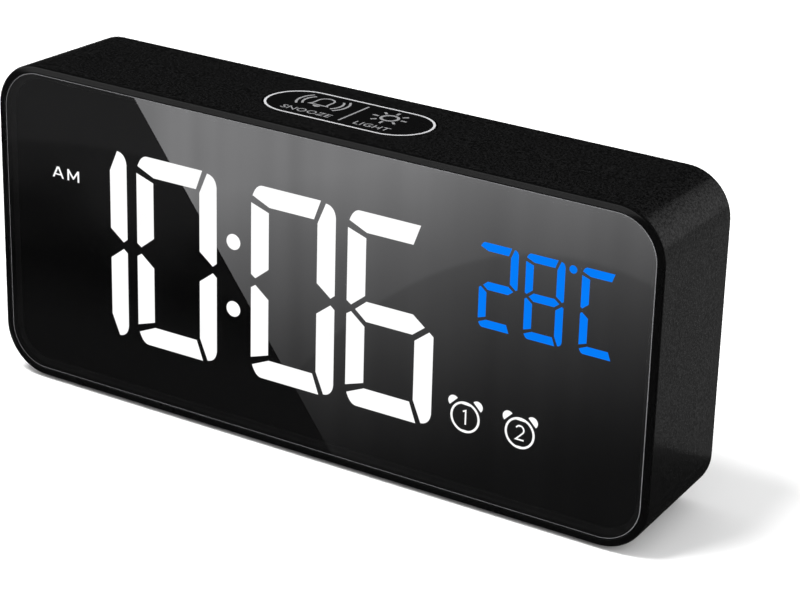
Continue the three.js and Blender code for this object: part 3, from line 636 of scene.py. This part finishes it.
def digit(character, left, middle, scale=1.0):
    """Outlines of a lit digit, all anticlockwise."""
    outlines = []
    for letter in LIT[character]:
        points = [(left + x * scale, middle + y * scale) for x, y in segment_outlines()[letter]]
        outlines.append(anticlockwise(points))
    return outlines


def stroke(points, width):
    """One outline round a line of points, with square ends."""
    sides = []
    for sign in (1, -1):
        side = []
        for k, (x, y) in enumerate(points):
            here = Vector((x, y))
            before = Vector(points[max(k - 1, 0)])
            after = Vector(points[min(k + 1, len(points) - 1)])
            first = (here - before if k else after - here).normalized()
            second = (after - here).normalized() if k + 1 < len(points) else first
            normal = Vector((-first.y - second.y, first.x + second.x)) / (1 + first.dot(second))
            side.append((x + sign * width / 2 * normal.x, y + sign * width / 2 * normal.y))
        sides.append(side)
    return anticlockwise(sides[1] + sides[0][::-1])


def shifted(outlines, dx, dy):
    return [[(x + dx, y + dy) for x, y in points] for points in outlines]


def glowing(name, groups, material, stands_for):
    """Lit faces in the front surface of the pane. Each group is an outline with its holes."""
    levels = [(LENS_FRONT + side * GLOW_RISE, GLOW_INSET) for side in (-1, 1)]
    bm = bmesh.new()
    for group in groups:
        loft(bm, group, levels)
    piece(name, bm, material, stands_for=stands_for)


def numeral_one():
    return stroke([(-0.62, 1.12), (0.12, 1.5), (0.12, -1.7)], 0.55)


def numeral_two():
    bow = arc(0.02, 0.72, 0.9, 165, -38, 12)
    return stroke(bow + [(-0.82, -1.42), (1.08, -1.42)], 0.55)


def alarm_sign(x, z, numeral):
    """A round clock with two bells, as groups of outlines."""
    groups = [[circle(x, z, 3.5, 64), hole(circle(x, z, 2.8, 64))]]
    for side in (-1, 1):
        tilt = 90 - side * 45
        groups.append([arc(x + side * 2.75, z + 2.95, 1.35, tilt - 98, tilt + 98, 20)])
    return groups + [shifted([numeral], x, z)]


def letter_a():
    """An A, and its eye as a hole."""
    feet = [(0, 0), (0.72, 0), (1.02, 0.62), (2.38, 0.62), (2.68, 0), (3.4, 0)]
    eye = [(1.28, 1.14), (1.7, 2.05), (2.12, 1.14)]
    return [feet + [(2.1, 2.75), (1.3, 2.75)], eye]


def letter_m():
    """An M whose right half mirrors its left."""
    width = 3.4
    low = [(0, 0), (0.66, 0), (0.66, 1.6), (1.5, 0.45)]
    high = [(1.7, 1.25), (0.62, 2.75), (0, 2.75)]
    low_right = [(width - x, y) for x, y in reversed(low)]
    high_right = [(width - x, y) for x, y in reversed(high[1:])]
    return [low + low_right + high_right + high]


def build_time(material):
    for name, character, left in TIME_DIGITS:
        groups = [[points] for points in digit(character, left, DIGIT_Z)]
        glowing(f"lit_{name}", groups, material, [f"{name}_segments"])
    dots = [[circle(COLON_X, DIGIT_Z + side * COLON_RISE, COLON_RADIUS)] for side in (-1, 1)]
    glowing("lit_colon", dots, material, ["colon_segments"])


def build_signs(material):
    """The letters AM and the two alarm signs."""
    letters = [shifted(letter_a(), LETTER_A_X, LETTER_Z), shifted(letter_m(), LETTER_M_X, LETTER_Z)]
    glowing("lit_meridiem", letters, material, ["meridiem_letters"])
    for number, numeral in enumerate((numeral_one(), numeral_two()), 1):
        sign = alarm_sign(ALARM_XS[number - 1], ALARM_Z, numeral)
        glowing(f"lit_alarm_{number}", sign, material, [f"alarm_sign_{number}"])


def build_temperature(material):
    groups = [[points] for character, left in SMALL_DIGITS
              for points in digit(character, left, SMALL_Z, SMALL_SCALE)]
    top = SMALL_Z + SMALL_SCALE * DIGIT_HEIGHT / 2
    groups.append([circle(DEGREE_X, top - 1.2, DEGREE_RADIUS)])
    glowing("lit_temperature", groups, material, ["temperature_segments"])


def build_display(look):
    """The dark mask behind the pane, and everything that is lit."""
    outline = case_outline(RIM + LIP_WIDTH + 0.2)
    levels = [(MASK_FRONT, 0), (MASK_BACK, 0)]
    solid("mask_sheet", [outline], levels, look["mask"], ["display_mask"])
    build_time(look["white_glow"])
    build_signs(look["white_glow"])
    build_temperature(look["blue_glow"])


# ----- snooze bar -----

def build_snooze(look):
    """The bar in the top, the flange that holds it in and the stem above its switch."""
    ceiling = TOP_Z - WALL - DRAFT
    outline = capsule(SNOOZE_LENGTH, SNOOZE_WIDTH, SNOOZE_X, SNOOZE_Y, 40)
    flange = capsule(SNOOZE_LENGTH + 2.4, SNOOZE_WIDTH + 2.4, SNOOZE_X, SNOOZE_Y, 24)
    stem = circle(SNOOZE_X, SNOOZE_Y, 1.5, 24)
    bm = bmesh.new()
    loft(bm, [outline], [(-3.4, 0)] + soft_edge(0, 0.25, steps=4), on_top)
    loft(bm, [flange], [(ceiling - 1.7, 0), (ceiling - 0.5, 0)], level)
    loft(bm, [stem], [(SNOOZE_STEM_Z, 0), (ceiling - 1.6, 0)], level)
    piece("snooze_cap", bm, look["smooth"], "snooze_bar", ["snooze_button"])
    build_snooze_print(look)


def printed(name, groups, material, body="snooze_bar", place=on_top):
    """Outlines as a very thin raised print."""
    bm = bmesh.new()
    for group in groups:
        loft(bm, group, [(-PRINT_HEIGHT, 0), (PRINT_HEIGHT, 0)], place)
    piece(name, bm, material, body)


def text_outlines(words, size, spacing, centre):
    """The words as triangles in plan, centred on a point, made with the built-in font."""
    curve = bpy.data.curves.new("words", "FONT")
    curve.body = words
    curve.size = size
    curve.align_x = curve.align_y = "CENTER"
    curve.space_character = spacing
    curve.resolution_u = 4
    carrier = linked("words", curve)
    graph = bpy.context.evaluated_depsgraph_get()
    mesh = bpy.data.meshes.new_from_object(carrier.evaluated_get(graph))
    bpy.data.objects.remove(carrier)
    bm = bmesh.new()
    bm.from_mesh(mesh)
    bmesh.ops.remove_doubles(bm, verts=bm.verts, dist=1e-4)
    bmesh.ops.triangulate(bm, faces=bm.faces)
    bmesh.ops.translate(bm, verts=bm.verts, vec=(*centre, 0))
    return bm


def printed_text(name, words, size, spacing, centre, material, body, place):
    """Words as a very thin raised print."""
    flat = text_outlines(words, size, spacing, centre)
    walls = bmesh.ops.extrude_face_region(flat, geom=flat.faces[:])
    risen = {v for v in walls["geom"] if isinstance(v, bmesh.types.BMVert)}
    for v in flat.verts:
        v.co = place(v.co.x, v.co.y, PRINT_HEIGHT if v in risen else -PRINT_HEIGHT)
    piece(name, flat, material, body)


def bell_sign(x, y):
    """A bell with two sound arcs each side."""
    rim = [(x - 2.0, y - 1.2), (x - 2.6, y - 2.1), (x + 2.6, y - 2.1), (x + 2.0, y - 1.2)]
    body = arc(x, y + 1.1, 2.0, 0, 180, 16) + rim
    groups = [[body, hole(moved(body, 0.45))], [arc(x, y - 2.4, 0.85, 180, 360, 10)]]
    for radius in (4.3, 5.6):
        for start in (-38, 142):
            groups.append([stroke(arc(x, y, radius, start, start + 76, 14), 0.5)])
    return groups


def sun_sign(x, y):
    """A ring with eight rays."""
    groups = [[circle(x, y, 2.1), hole(circle(x, y, 1.5))]]
    for k in range(8):
        turn = math.pi * k / 4
        ray = [(x + r * math.cos(turn), y + r * math.sin(turn)) for r in (2.7, 4.0)]
        groups.append([stroke(ray, 0.55)])
    return groups


def build_snooze_print(look):
    """The line round the bar, its divider, and a sign and a word for each half."""
    grey = look["grey_print"]
    border = capsule(SNOOZE_LENGTH - 0.5, SNOOZE_WIDTH - 0.5, SNOOZE_X, SNOOZE_Y, 40)
    inner = capsule(SNOOZE_LENGTH - 1.5, SNOOZE_WIDTH - 1.5, SNOOZE_X, SNOOZE_Y, 40)
    divider = stroke([(0.9, SNOOZE_Y - 5.6), (0.9, SNOOZE_Y + 5.9)], 0.42)
    printed("snooze_border", [[border, hole(inner)]], look["print"])
    printed("snooze_divider", [[divider]], grey)
    printed("snooze_bell", bell_sign(-8.0, SNOOZE_Y + 2.3), grey)
    printed("light_sun", sun_sign(8.3, SNOOZE_Y + 2.1), grey)
    for words, x in (("SNOOZE", -7.6), ("LIGHT", 8.2)):
        centre = (x, SNOOZE_Y - 4.7)
        printed_text(f"word_{words.lower()}", words, 2.9, 1.05, centre, grey, "snooze_bar", on_top)


# ----- back -----

def screw_spots():
    return [(sx * SCREW_X, MID_Z + sz * SCREW_Z) for sz in (-1, 1) for sx in (-1, 1)]


def grille_spots():
    spots = [(0.0, 0.0)]
    for ring in (1, 2):
        for k in range(6 * ring):
            a = 2 * math.pi * k / (6 * ring)
            spots.append((3 * ring * math.cos(a), 3 * ring * math.sin(a)))
    return [(SPEAKER_X + x, SPEAKER_Z + z) for x, z in spots]


def rect(x0, x1, y0, y1, radius=0.2):
    return rounded_rect(x1 - x0, y1 - y0, radius, (x0 + x1) / 2, (y0 + y1) / 2, 4)


def through(outline, soft=0.15):
    """A cutter through the cover whose mouth is slightly chamfered."""
    mouth = [(COVER_BACK - soft, 0), (COVER_BACK, -soft), (COVER_BACK + 0.3, -soft - 0.3)]
    return [outline], [(COVER_FRONT - 1, 0)] + mouth


def cover_recesses():
    """The door's seat and the screws' counterbores."""
    bm = bmesh.new()
    half = DOOR_HALF_LENGTH + DOOR_GAP
    seat = rect(-half, half, SEAT_LOW, DOOR_TOP + DOOR_GAP, 0.4)
    loft(bm, [seat], [(COVER_BACK - DOOR_THICKNESS - 0.1, 0), (COVER_BACK + 0.3, 0)])
    mouth = [(COVER_BACK - 0.12, 0), (COVER_BACK, -0.12), (COVER_BACK + 0.3, -0.4)]
    for x, z in screw_spots():
        loft(bm, [circle(x, z, 2.6)], [(COVER_BACK - 1.3, 0)] + mouth)
    return bm


def finger_notch():
    """The hollow above the door for a fingertip."""
    bm = bmesh.new()
    levels = [(COVER_BACK - 1.2, 0), (COVER_BACK - 0.2, 0), (COVER_BACK + 0.3, -0.5)]
    loft(bm, [rounded_rect(12, 6, 2.9, 0, DOOR_TOP, 10)], levels)
    return bm


def cover_openings():
    """Everything that goes right through the cover."""
    bm = bmesh.new()
    bay = rect(-BAY_HALF_LENGTH, BAY_HALF_LENGTH, SEAT_LOW, BAY_Z + BAY_HALF_HEIGHT, 0.5)
    loft(bm, [bay], [(COVER_FRONT - 1, 0), (COVER_BACK + 0.5, 0)])
    for x in BUTTON_XS:
        loft(bm, *through(circle(x, BUTTON_Z, BUTTON_RADIUS + 0.25)))
    slot = SWITCH_TRAVEL / 2 + 1.8
    loft(bm, *through(rect(SWITCH_X - slot, SWITCH_X + slot, BUTTON_Z - 1.55, BUTTON_Z + 1.55)))
    loft(bm, *through(capsule(INLET_WIDTH + 0.6, INLET_HEIGHT + 0.6, INLET_X, INLET_Z, 12), 0.2))
    for x in VENT_XS:
        vent = [(x - across, VENT_Z + along) for along, across in capsule(8, 1.2, 0, 0, 8)]
        loft(bm, *through(vent))
    for x, z in grille_spots():
        loft(bm, *through(circle(x, z, 0.8, 20)))
    for x, z in screw_spots():
        loft(bm, [circle(x, z, 1.5, 24)], [(COVER_FRONT - 1, 0), (COVER_BACK, 0)])
    return bm


def build_cover(look):
    """The rear cover with its openings, the battery well and the signs."""
    outline = case_outline(WALL + draft_at(COVER_BACK) + COVER_GAP)
    levels = rounded_levels(COVER_FRONT, COVER_BACK, 0.3)
    cover = solid("back_cover", [outline], levels, look["cover"], ["rear_cover"])
    for cutter in (cover_recesses(), finger_notch(), cover_openings()):
        cut(cover, cutter)
    weigh_normals(cover)
    build_bay(look)
    build_back_print(look)


def build_bay(look):
    """The battery well: an open box behind the cover."""
    low, high = BAY_Z - BAY_HALF_HEIGHT, BAY_Z + BAY_HALF_HEIGHT
    inner = rect(-BAY_HALF_LENGTH, BAY_HALF_LENGTH, low, high, 0.5)
    mouth = COVER_FRONT - 0.02
    levels = [(BAY_FLOOR, 0), (mouth, 0), (mouth, -BAY_WALL), (BAY_FLOOR - BAY_WALL, -BAY_WALL)]
    solid("battery_well", [inner], levels, look["cover"], ["battery_tray"])


def build_back_print(look):
    """Generic signs above the keys."""
    grey = look["grey_print"]
    signs = {"set": "SET", "mode": "MODE", "alarm": "ALARM"}
    z = BUTTON_Z + 5.6
    for name, x in zip(BUTTON_NAMES, BUTTON_XS):
        if name in signs:
            printed_text(f"word_{name}", signs[name], 2.4, 1.1, (-x, z), grey, "clock", on_back)
        else:
            up = 1 if name == "up" else -1
            foot = z - 0.8 * up
            arrow = [(-x - up * 1.1, foot), (-x + up * 1.1, foot), (-x, z + 0.9 * up)]
            printed(f"arrow_{name}", [[arrow]], grey, "clock", on_back)


def round_shoulder(radius, height):
    """The rounded top edge of a turned profile."""
    size = 0.35
    return [(radius - size * (1 - math.cos(a)), height + size * math.sin(a)) for a in quarter(4)]


def build_buttons(look):
    """Five round keys: a stem, a flange behind the cover and a slightly dished crown."""
    tip = 21.6
    flange = (tip + 4.2, tip + 4.9)
    top = tip + 8.2
    r = BUTTON_RADIUS
    stem = [(0, tip), (1.5, tip), (1.5, flange[0]), (3.9, flange[0]), (3.9, flange[1]), (r, flange[1])]
    crown = round_shoulder(r, top)
    dish = [(r * 0.55, top + 0.25), (r * 0.25, top + 0.18), (0, top + 0.16)]
    for name, x in zip(BUTTON_NAMES, BUTTON_XS):
        bm = bmesh.new()
        turned(bm, stem + crown + dish, 48, along_y(x, BUTTON_Z))
        piece(f"{name}_key_cap", bm, look["button"], f"{name}_key", [f"{name}_button"])


def build_switch_knob(look):
    """The slide switch's knob at the left end of its slot, with three finger ridges."""
    left = SWITCH_X - SWITCH_TRAVEL / 2
    base = 18.6
    bm = bmesh.new()
    neck = rect(left - 1, left + 1, BUTTON_Z - 0.6, BUTTON_Z + 0.6)
    loft(bm, [neck], [(base + 1.2, 0), (base + 4.9, 0)])
    body = rect(left - 1.5, left + 1.5, BUTTON_Z - 1.25, BUTTON_Z + 1.25)
    loft(bm, [body], rounded_levels(base + 4.8, COVER_BACK + 0.5, 0.12))
    for k in (-1, 0, 1):
        ridge = rect(left + k - 0.28, left + k + 0.28, BUTTON_Z - 1.2, BUTTON_Z + 1.2, 0.15)
        loft(bm, [ridge], [(COVER_BACK + 0.4, 0), (COVER_BACK + 0.8, 0), (COVER_BACK + 0.9, 0.1)])
    piece("slider_knob", bm, look["button"], "switch_knob", ["slide_switch_knob"])


def build_inlet(look):
    """The metal shell of the power socket."""
    outer = capsule(INLET_WIDTH, INLET_HEIGHT, INLET_X, INLET_Z, 16)
    inner = capsule(INLET_WIDTH - 0.7, INLET_HEIGHT - 0.7, INLET_X, INLET_Z, 16)
    shell = [outer, hole(inner)]
    levels = [(18.65, 0), (28.6, 0), (28.7, 0.1)]
    solid("inlet_shell", shell, levels, look["nickel"], ["power_inlet_shell"])


def cross_outline(x, z):
    """The recess of a cross-head screw."""
    arm = [(0.3, 0.3), (0.3, 1.4), (-0.3, 1.4)]
    turns = [arm, [(-y, x) for x, y in arm], [(-x, -y) for x, y in arm], [(y, -x) for x, y in arm]]
    return shifted([[p for points in turns for p in points]], x, z)


def build_screws(look):
    """Four pan-head screws with crosses, down in their counterbores."""
    seat = COVER_BACK - 1.25
    shank = [(0, seat - 11), (0.9, seat - 10), (1.05, seat - 9.4), (1.05, seat), (2.3, seat)]
    profile = shank + round_shoulder(2.3, seat + 0.55) + [(1.2, seat + 1.08), (0, seat + 1.14)]
    for k, (x, z) in enumerate(screw_spots(), 1):
        bm = bmesh.new()
        turned(bm, profile, 40, along_y(x, z))
        screw = piece(f"cover_screw_head_{k}", bm, look["steel"], stands_for=[f"cover_screw_{k}"])
        cross = bmesh.new()
        loft(cross, cross_outline(x, z), [(seat + 0.35, 0.12), (seat + 2, 0)])
        cut(screw, cross)
        weigh_normals(screw)


def rod(name, radius, half_length, sides, look):
    """A round bar on the door's hinge axis."""
    bm = bmesh.new()
    profile = [(0, -half_length), (radius, -half_length), (radius, half_length), (0, half_length)]
    turned(bm, profile, sides, along_x(HINGE_DEPTH, HINGE_Z))
    piece(name, bm, look["cover"], "battery_door")


def build_door(look):
    """The battery door with its grip grooves, and the knuckle and pins it turns on."""
    outline = rect(-DOOR_HALF_LENGTH, DOOR_HALF_LENGTH, HINGE_Z, DOOR_TOP, 0.3)
    levels = [(COVER_BACK - DOOR_THICKNESS, 0)] + soft_edge(COVER_BACK, 0.25)
    door = solid("door_panel", [outline], levels, look["cover"], ["battery_door"], "battery_door")
    grooves = bmesh.new()
    for k in range(4):
        groove = rounded_rect(10, 0.8, 0.39, 0, 33.4 + k * 1.8, 6)
        loft(grooves, [groove], [(COVER_BACK - 0.4, 0.1), (COVER_BACK, 0), (COVER_BACK + 0.5, 0)])
    cut(door, grooves)
    weigh_normals(door)
    arrow = [(-1.3, 29.9), (1.3, 29.9), (0, 31.6)]
    printed("arrow_door", [[arrow]], look["grey_print"], "battery_door", on_back)
    rod("door_knuckle", HINGE_RADIUS, DOOR_HALF_LENGTH - 0.02, 40, look)
    rod("door_pins", 0.6, DOOR_HALF_LENGTH + 1.3, 24, look)


def cell_profiles():
    """(radius, distance from the button end) outlines of a cell's wrap, band and steel end."""
    r = CELL_RADIUS
    end = CELL_LENGTH - 0.05
    wrap = [(0, 13), (r - 0.1, 13), (r, 13.1), (r, CELL_LENGTH - 0.5), (r - 0.5, end), (0, end)]
    band = [(0, 1.0), (r - 0.7, 1.0), (r - 0.1, 1.6), (r - 0.1, 12.98), (0, 12.98)]
    cap = [(0, 0), (1.7, 0), (1.9, 0.2), (1.9, 0.9), (r - 0.9, 0.95), (0, 0.98)]
    return {"wrap": (wrap, "wrap"), "band": (band, "wrap_band"), "cap": (cap, "nickel")}


def build_cells(look):
    """Three cells that alternate in direction."""
    for name, row, facing in (("top", 1, 1), ("middle", 0, -1), ("bottom", -1, 1)):
        start = -facing * (BAY_HALF_LENGTH - 0.5)
        for part, (profile, finish) in cell_profiles().items():
            bm = bmesh.new()
            places = [(radius, start + facing * along) for radius, along in profile]
            turned(bm, places, 56, along_x(CELL_DEPTH, BAY_Z + row * CELL_PITCH))
            nodes = [f"battery_cell_{name}"] if part == "wrap" else ()
            piece(f"cell_{name}_{part}", bm, look[finish], stands_for=nodes)


NODE_FINISHES = {
    "tape": ["lens_adhesive"],
    "rubber": ["foot_strip_front", "foot_strip_rear"],
    "film": ["diffuser_film"],
    "white_plastic": ["display_reflector"],
    "board": ["display_board", "main_board", "snooze_board"],
    "chip": ["microcontroller", "board_header", "snooze_switch", "power_inlet_tongue", "speaker"]
            + [f"{name}_switch" for name in BUTTON_NAMES],
    "steel": ["capacitor", "slide_switch_body"],
    "bead": ["thermistor"],
    "black_wire": ["snooze_lead", "speaker_lead", "battery_lead_negative"],
    "red_wire": ["battery_lead_positive"],
    "nickel": [f"battery_contact_{sign}" for sign in ("positive", "negative")]
              + [f"battery_link_{side}" for side in ("left", "right")],
}


def finish_nodes(nodes, look):
    """Materials for the CAD nodes that are kept."""
    for finish, names in NODE_FINISHES.items():
        for name in names:
            materials = nodes[name].data.materials
            materials.clear()
            materials.append(look[finish])


# ----- studio -----

def stage_plane(name, points, material):
    mesh = bpy.data.meshes.new(name)
    mesh.from_pydata(points, [], [tuple(range(len(points)))])
    obj = linked(name, mesh)
    obj.data.materials.append(material)
    return obj


def level_corners(x0, x1, y0, y1, z):
    return [(x0, y0, z), (x1, y0, z), (x1, y1, z), (x0, y1, z)]


def build_floor():
    """A matt pale floor that reflections don't see."""
    material, _, shader = new_material("paper_floor")
    pale = (0.92, 0.92, 0.92, 1)
    set_inputs(shader, {"Base Color": pale, "Roughness": 0.9, "Specular IOR Level": 0.0})
    size = 3.0
    floor = stage_plane("floor", level_corners(-size, size, -size, size, 0), material)
    floor.visible_glossy = False


def emitter(name):
    """An emission material to be given a strength."""
    material = bpy.data.materials.new(name)
    material.use_nodes = True
    tree = material.node_tree
    tree.nodes.remove(tree.nodes["Principled BSDF"])
    emission = tree.nodes.new("ShaderNodeEmission")
    tree.links.new(emission.outputs[0], tree.nodes["Material Output"].inputs["Surface"])
    return material, tree, emission.inputs["Strength"]


def maths(tree, operation, *values):
    """A maths node whose inputs are sockets or numbers."""
    node = tree.nodes.new("ShaderNodeMath")
    node.operation = operation
    for socket, value in zip(node.inputs, values):
        if isinstance(value, bpy.types.NodeSocket):
            tree.links.new(value, socket)
        else:
            socket.default_value = value
    return node.outputs[0]


def position(tree):
    """The X and Z of the point on the piece, in metres."""
    coords = tree.nodes.new("ShaderNodeTexCoord")
    split = tree.nodes.new("ShaderNodeSeparateXYZ")
    tree.links.new(coords.outputs["Object"], split.inputs[0])
    return split.outputs["X"], split.outputs["Z"]


def below_arch(tree, x, z, top, middle, curve, shade):
    """One above a low arch, and shade below it."""
    soft = 0.0008
    across = maths(tree, "SUBTRACT", x, middle)
    drop = maths(tree, "MULTIPLY", maths(tree, "MULTIPLY", across, across), curve)
    height = maths(tree, "ADD", z, drop)
    return ramped(tree, height, top - soft, top + soft, shade, 1.0, smooth=True)


def grey_card_material():
    """Brightest at the top, falling to the lower right, with faint upright folds."""
    material, tree, strength = emitter("grey_card")
    x, z = position(tree)
    height = maths(tree, "MULTIPLY_ADD", x, -0.35, z)
    squared = maths(tree, "POWER", ramped(tree, height, -0.012, 0.062), 2.0)
    base = maths(tree, "MULTIPLY_ADD", squared, 0.62, 0.022)
    arched = maths(tree, "MULTIPLY", base, below_arch(tree, x, z, 0.0575, 0.062, 9.0, 0.8))
    folds = spread(tree, noise(tree, 110, 2, (1, 1, 0.04)), 0.86, 1.08)
    soft = spread(tree, noise(tree, 28, 2), 0.9, 1.06)
    tree.links.new(maths(tree, "MULTIPLY", maths(tree, "MULTIPLY", arched, folds), soft), strength)
    return material


def dark_card_material():
    """A dim room: lighter above, darkest in the middle, with soft shapes."""
    material, tree, strength = emitter("dark_card")
    x, z = position(tree)
    shapes = spread(tree, noise(tree, 38, 1, (1, 1, 1.6)), -0.006, 0.006)
    upper = ramped(tree, maths(tree, "ADD", z, shapes), 0.026, 0.06, 0.008, 0.046, smooth=True)
    lower = ramped(tree, z, 0.026, 0.012, 0.0, 0.012)
    room = maths(tree, "ADD", upper, lower)
    arch = below_arch(tree, x, z, 0.056, -0.045, 3.0, 0.72)
    tree.links.new(maths(tree, "MULTIPLY", room, arch), strength)
    return material


def only_reflected(obj):
    """Shows a card to reflections alone."""
    obj.visible_camera = False
    obj.visible_diffuse = False
    obj.visible_transmission = False
    obj.visible_shadow = False


def build_mirror_cards():
    """A dark and a grey card close in front of the pane, seen by it alone."""
    depth = LENS_FRONT - 4.5
    low, high, far = 0.2, 71.2, 130
    foot = 3.9
    head = foot - (high - low) / 1.345
    dark = [upright(x, z, depth) for x, z in ((-far, low), (foot, low), (head, high), (-far, high))]
    grey = [upright(x, z, depth) for x, z in ((foot, low), (far, low), (far, high), (head, high))]
    receivers = bpy.data.collections.new("mirror_only")
    receivers.objects.link(bpy.data.objects["mirror_lens"])
    for points, material in ((dark, dark_card_material()), (grey, grey_card_material())):
        card = stage_plane(material.name, points, material)
        only_reflected(card)
        card.light_linking.receiver_collection = receivers


def soft_card(name, points, brightness, full, empty):
    """A dim card seen by reflection alone, which fades out between two heights."""
    material, tree, strength = emitter(name)
    fade = ramped(tree, position(tree)[1], empty, full, smooth=True)
    uneven = spread(tree, noise(tree, 3, 2), brightness * 0.9, brightness * 1.1)
    tree.links.new(maths(tree, "MULTIPLY", fade, uneven), strength)
    only_reflected(stage_plane(name, points, material))


def standing_card(name, centre, width, height, brightness):
    """A soft card that stands upright, faces the clock and fades towards its top."""
    middle = Vector(centre)
    across = Vector((-middle.y, middle.x, 0)).normalized() * width / 2
    up = Vector((0, 0, height / 2))
    points = [middle - across - up, middle + across - up, middle + across + up, middle - across + up]
    soft_card(name, points, brightness, middle.z - height / 4, middle.z + height / 2)


def floor_card(name, x0, x1, y0, y1, brightness):
    """The lit floor as it shows in the sides of the clock."""
    soft_card(name, level_corners(x0, x1, y0, y1, 0.001), brightness, 0.0, 1.0)


def build_soft_cards():
    """The room behind on the right and on the left, the lit floor below it, and the sky in front."""
    standing_card("side_card", (0.9, 1.1, 0.7), 1.6, 1.4, 0.36)
    standing_card("left_card", (-1.5, 0, 0.7), 1.5, 1.4, 0.3)
    standing_card("sky_card", (-0.9, -1.5, 0.62), 2.2, 1.1, 1.0)
    floor_card("floor_sheen_right", 0.03, 1.8, 0.033, 1.42, 0.15)
    floor_card("floor_sheen_left", -1.5, -0.085, -0.75, 0.75, 0.12)


def area_light(name, location, target, size, power):
    light = bpy.data.lights.new(name, "AREA")
    light.shape = "DISK"
    light.size = size
    light.energy = power
    obj = linked(name, light)
    obj.location = location
    direction = Vector(target) - Vector(location)
    obj.rotation_euler = direction.to_track_quat("-Z", "Y").to_euler()
    return obj


def mixed(tree, factor, first, second):
    """A mix of two shaders."""
    mix = tree.nodes.new("ShaderNodeMixShader")
    for socket, value in zip(mix.inputs, (factor, first, second)):
        tree.links.new(value, socket)
    return mix.outputs[0]


def background(tree, shade, strength):
    node = tree.nodes.new("ShaderNodeBackground")
    set_inputs(node, {"Color": (shade, shade, shade, 1), "Strength": strength})
    return node.outputs[0]


def build_world():
    """White to the camera, soft for diffuse light and dim in reflections."""
    world = bpy.data.worlds.new("studio")
    bpy.context.scene.world = world
    world.use_nodes = True
    tree = world.node_tree
    tree.nodes.remove(tree.nodes["Background"])
    path = tree.nodes.new("ShaderNodeLightPath").outputs
    soft = background(tree, 1.0, 0.85)
    dim = background(tree, 0.8, 0.02)
    white = background(tree, 1.0, 1.0)
    unseen = mixed(tree, path["Is Glossy Ray"], soft, dim)
    seen = mixed(tree, path["Is Camera Ray"], unseen, white)
    tree.links.new(seen, tree.nodes["World Output"].inputs["Surface"])


def back_pieces():
    """The rear cover and the pieces in it."""
    behind = (FRONT + COVER_FRONT - 8) * MM
    meshes = [obj for obj in bpy.data.objects if obj.type == "MESH"]
    return [obj for obj in meshes if behind < min(y for _, y, _ in obj.bound_box) < -FRONT * MM]


def light_the_back():
    """A soft light behind the clock which reaches the rear cover alone."""
    light = area_light("rear_fill", (-0.7, 1.0, 0.75), (0, 0, 0.035), 0.7, 30.0)
    receivers = bpy.data.collections.new("back_only")
    for obj in back_pieces():
        receivers.objects.link(obj)
    light.light_linking.receiver_collection = receivers


def build_lights():
    """A key light above on the left, a fill on the right, and the light behind."""
    key = area_light("key", (-0.38, -0.52, 1.54), (0, 0, 0), 0.5, 24.0)
    key.visible_glossy = False
    fill = area_light("fill", (0.9, -0.5, 0.7), (0, 0, 0.03), 0.8, 4.5)
    fill.visible_glossy = False
    light_the_back()


CAMERA_AZIMUTH = math.radians(31.65)
CAMERA_ELEVATION = math.radians(22.85)
CAMERA_ROLL = math.radians(1.57)
CAMERA_DISTANCE = 0.533
CAMERA_TARGET = Vector((0.0153, -0.0033, 0.0357))
CAMERA_LENS = 117.2


def build_camera():
    """The camera at the photo's angle, looking at its target with a slight roll."""
    camera = bpy.data.cameras.new("camera")
    camera.lens = CAMERA_LENS
    camera.clip_start = 0.01
    side = Vector((math.cos(CAMERA_AZIMUTH), math.sin(CAMERA_AZIMUTH), 0))
    away = Vector((side.y, -side.x, 0))
    back = away * math.cos(CAMERA_ELEVATION) + Vector((0, 0, math.sin(CAMERA_ELEVATION)))
    up = back.cross(side)
    right = side * math.cos(CAMERA_ROLL) + up * math.sin(CAMERA_ROLL)
    top = up * math.cos(CAMERA_ROLL) - side * math.sin(CAMERA_ROLL)
    obj = linked("camera", camera)
    turn = Matrix((right, top, back)).transposed().to_4x4()
    obj.matrix_world = Matrix.Translation(CAMERA_TARGET + back * CAMERA_DISTANCE) @ turn
    bpy.context.scene.camera = obj


# ----- the scene -----

def build_clock(nodes):
    """Every visible piece, and the finishes of the CAD nodes that stay."""
    look = build_materials()
    for build in (build_case, build_lens, build_display, build_snooze, build_cover, build_buttons,
                  build_switch_knob, build_inlet, build_screws, build_door, build_cells):
        build(look)
    finish_nodes(nodes, look)


def build_studio():
    build_floor()
    build_mirror_cards()
    build_soft_cards()
    build_world()
    build_lights()
    build_camera()
    bpy.context.scene.view_settings.view_transform = "Standard"


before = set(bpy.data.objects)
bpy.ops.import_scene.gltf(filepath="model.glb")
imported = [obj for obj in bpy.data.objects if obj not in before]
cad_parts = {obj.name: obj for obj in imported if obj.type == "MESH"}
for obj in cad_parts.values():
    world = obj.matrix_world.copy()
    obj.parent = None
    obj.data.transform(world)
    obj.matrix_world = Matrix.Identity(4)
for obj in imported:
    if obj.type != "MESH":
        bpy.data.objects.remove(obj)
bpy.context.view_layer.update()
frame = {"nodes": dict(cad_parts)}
build_clock(frame["nodes"])
build_studio()
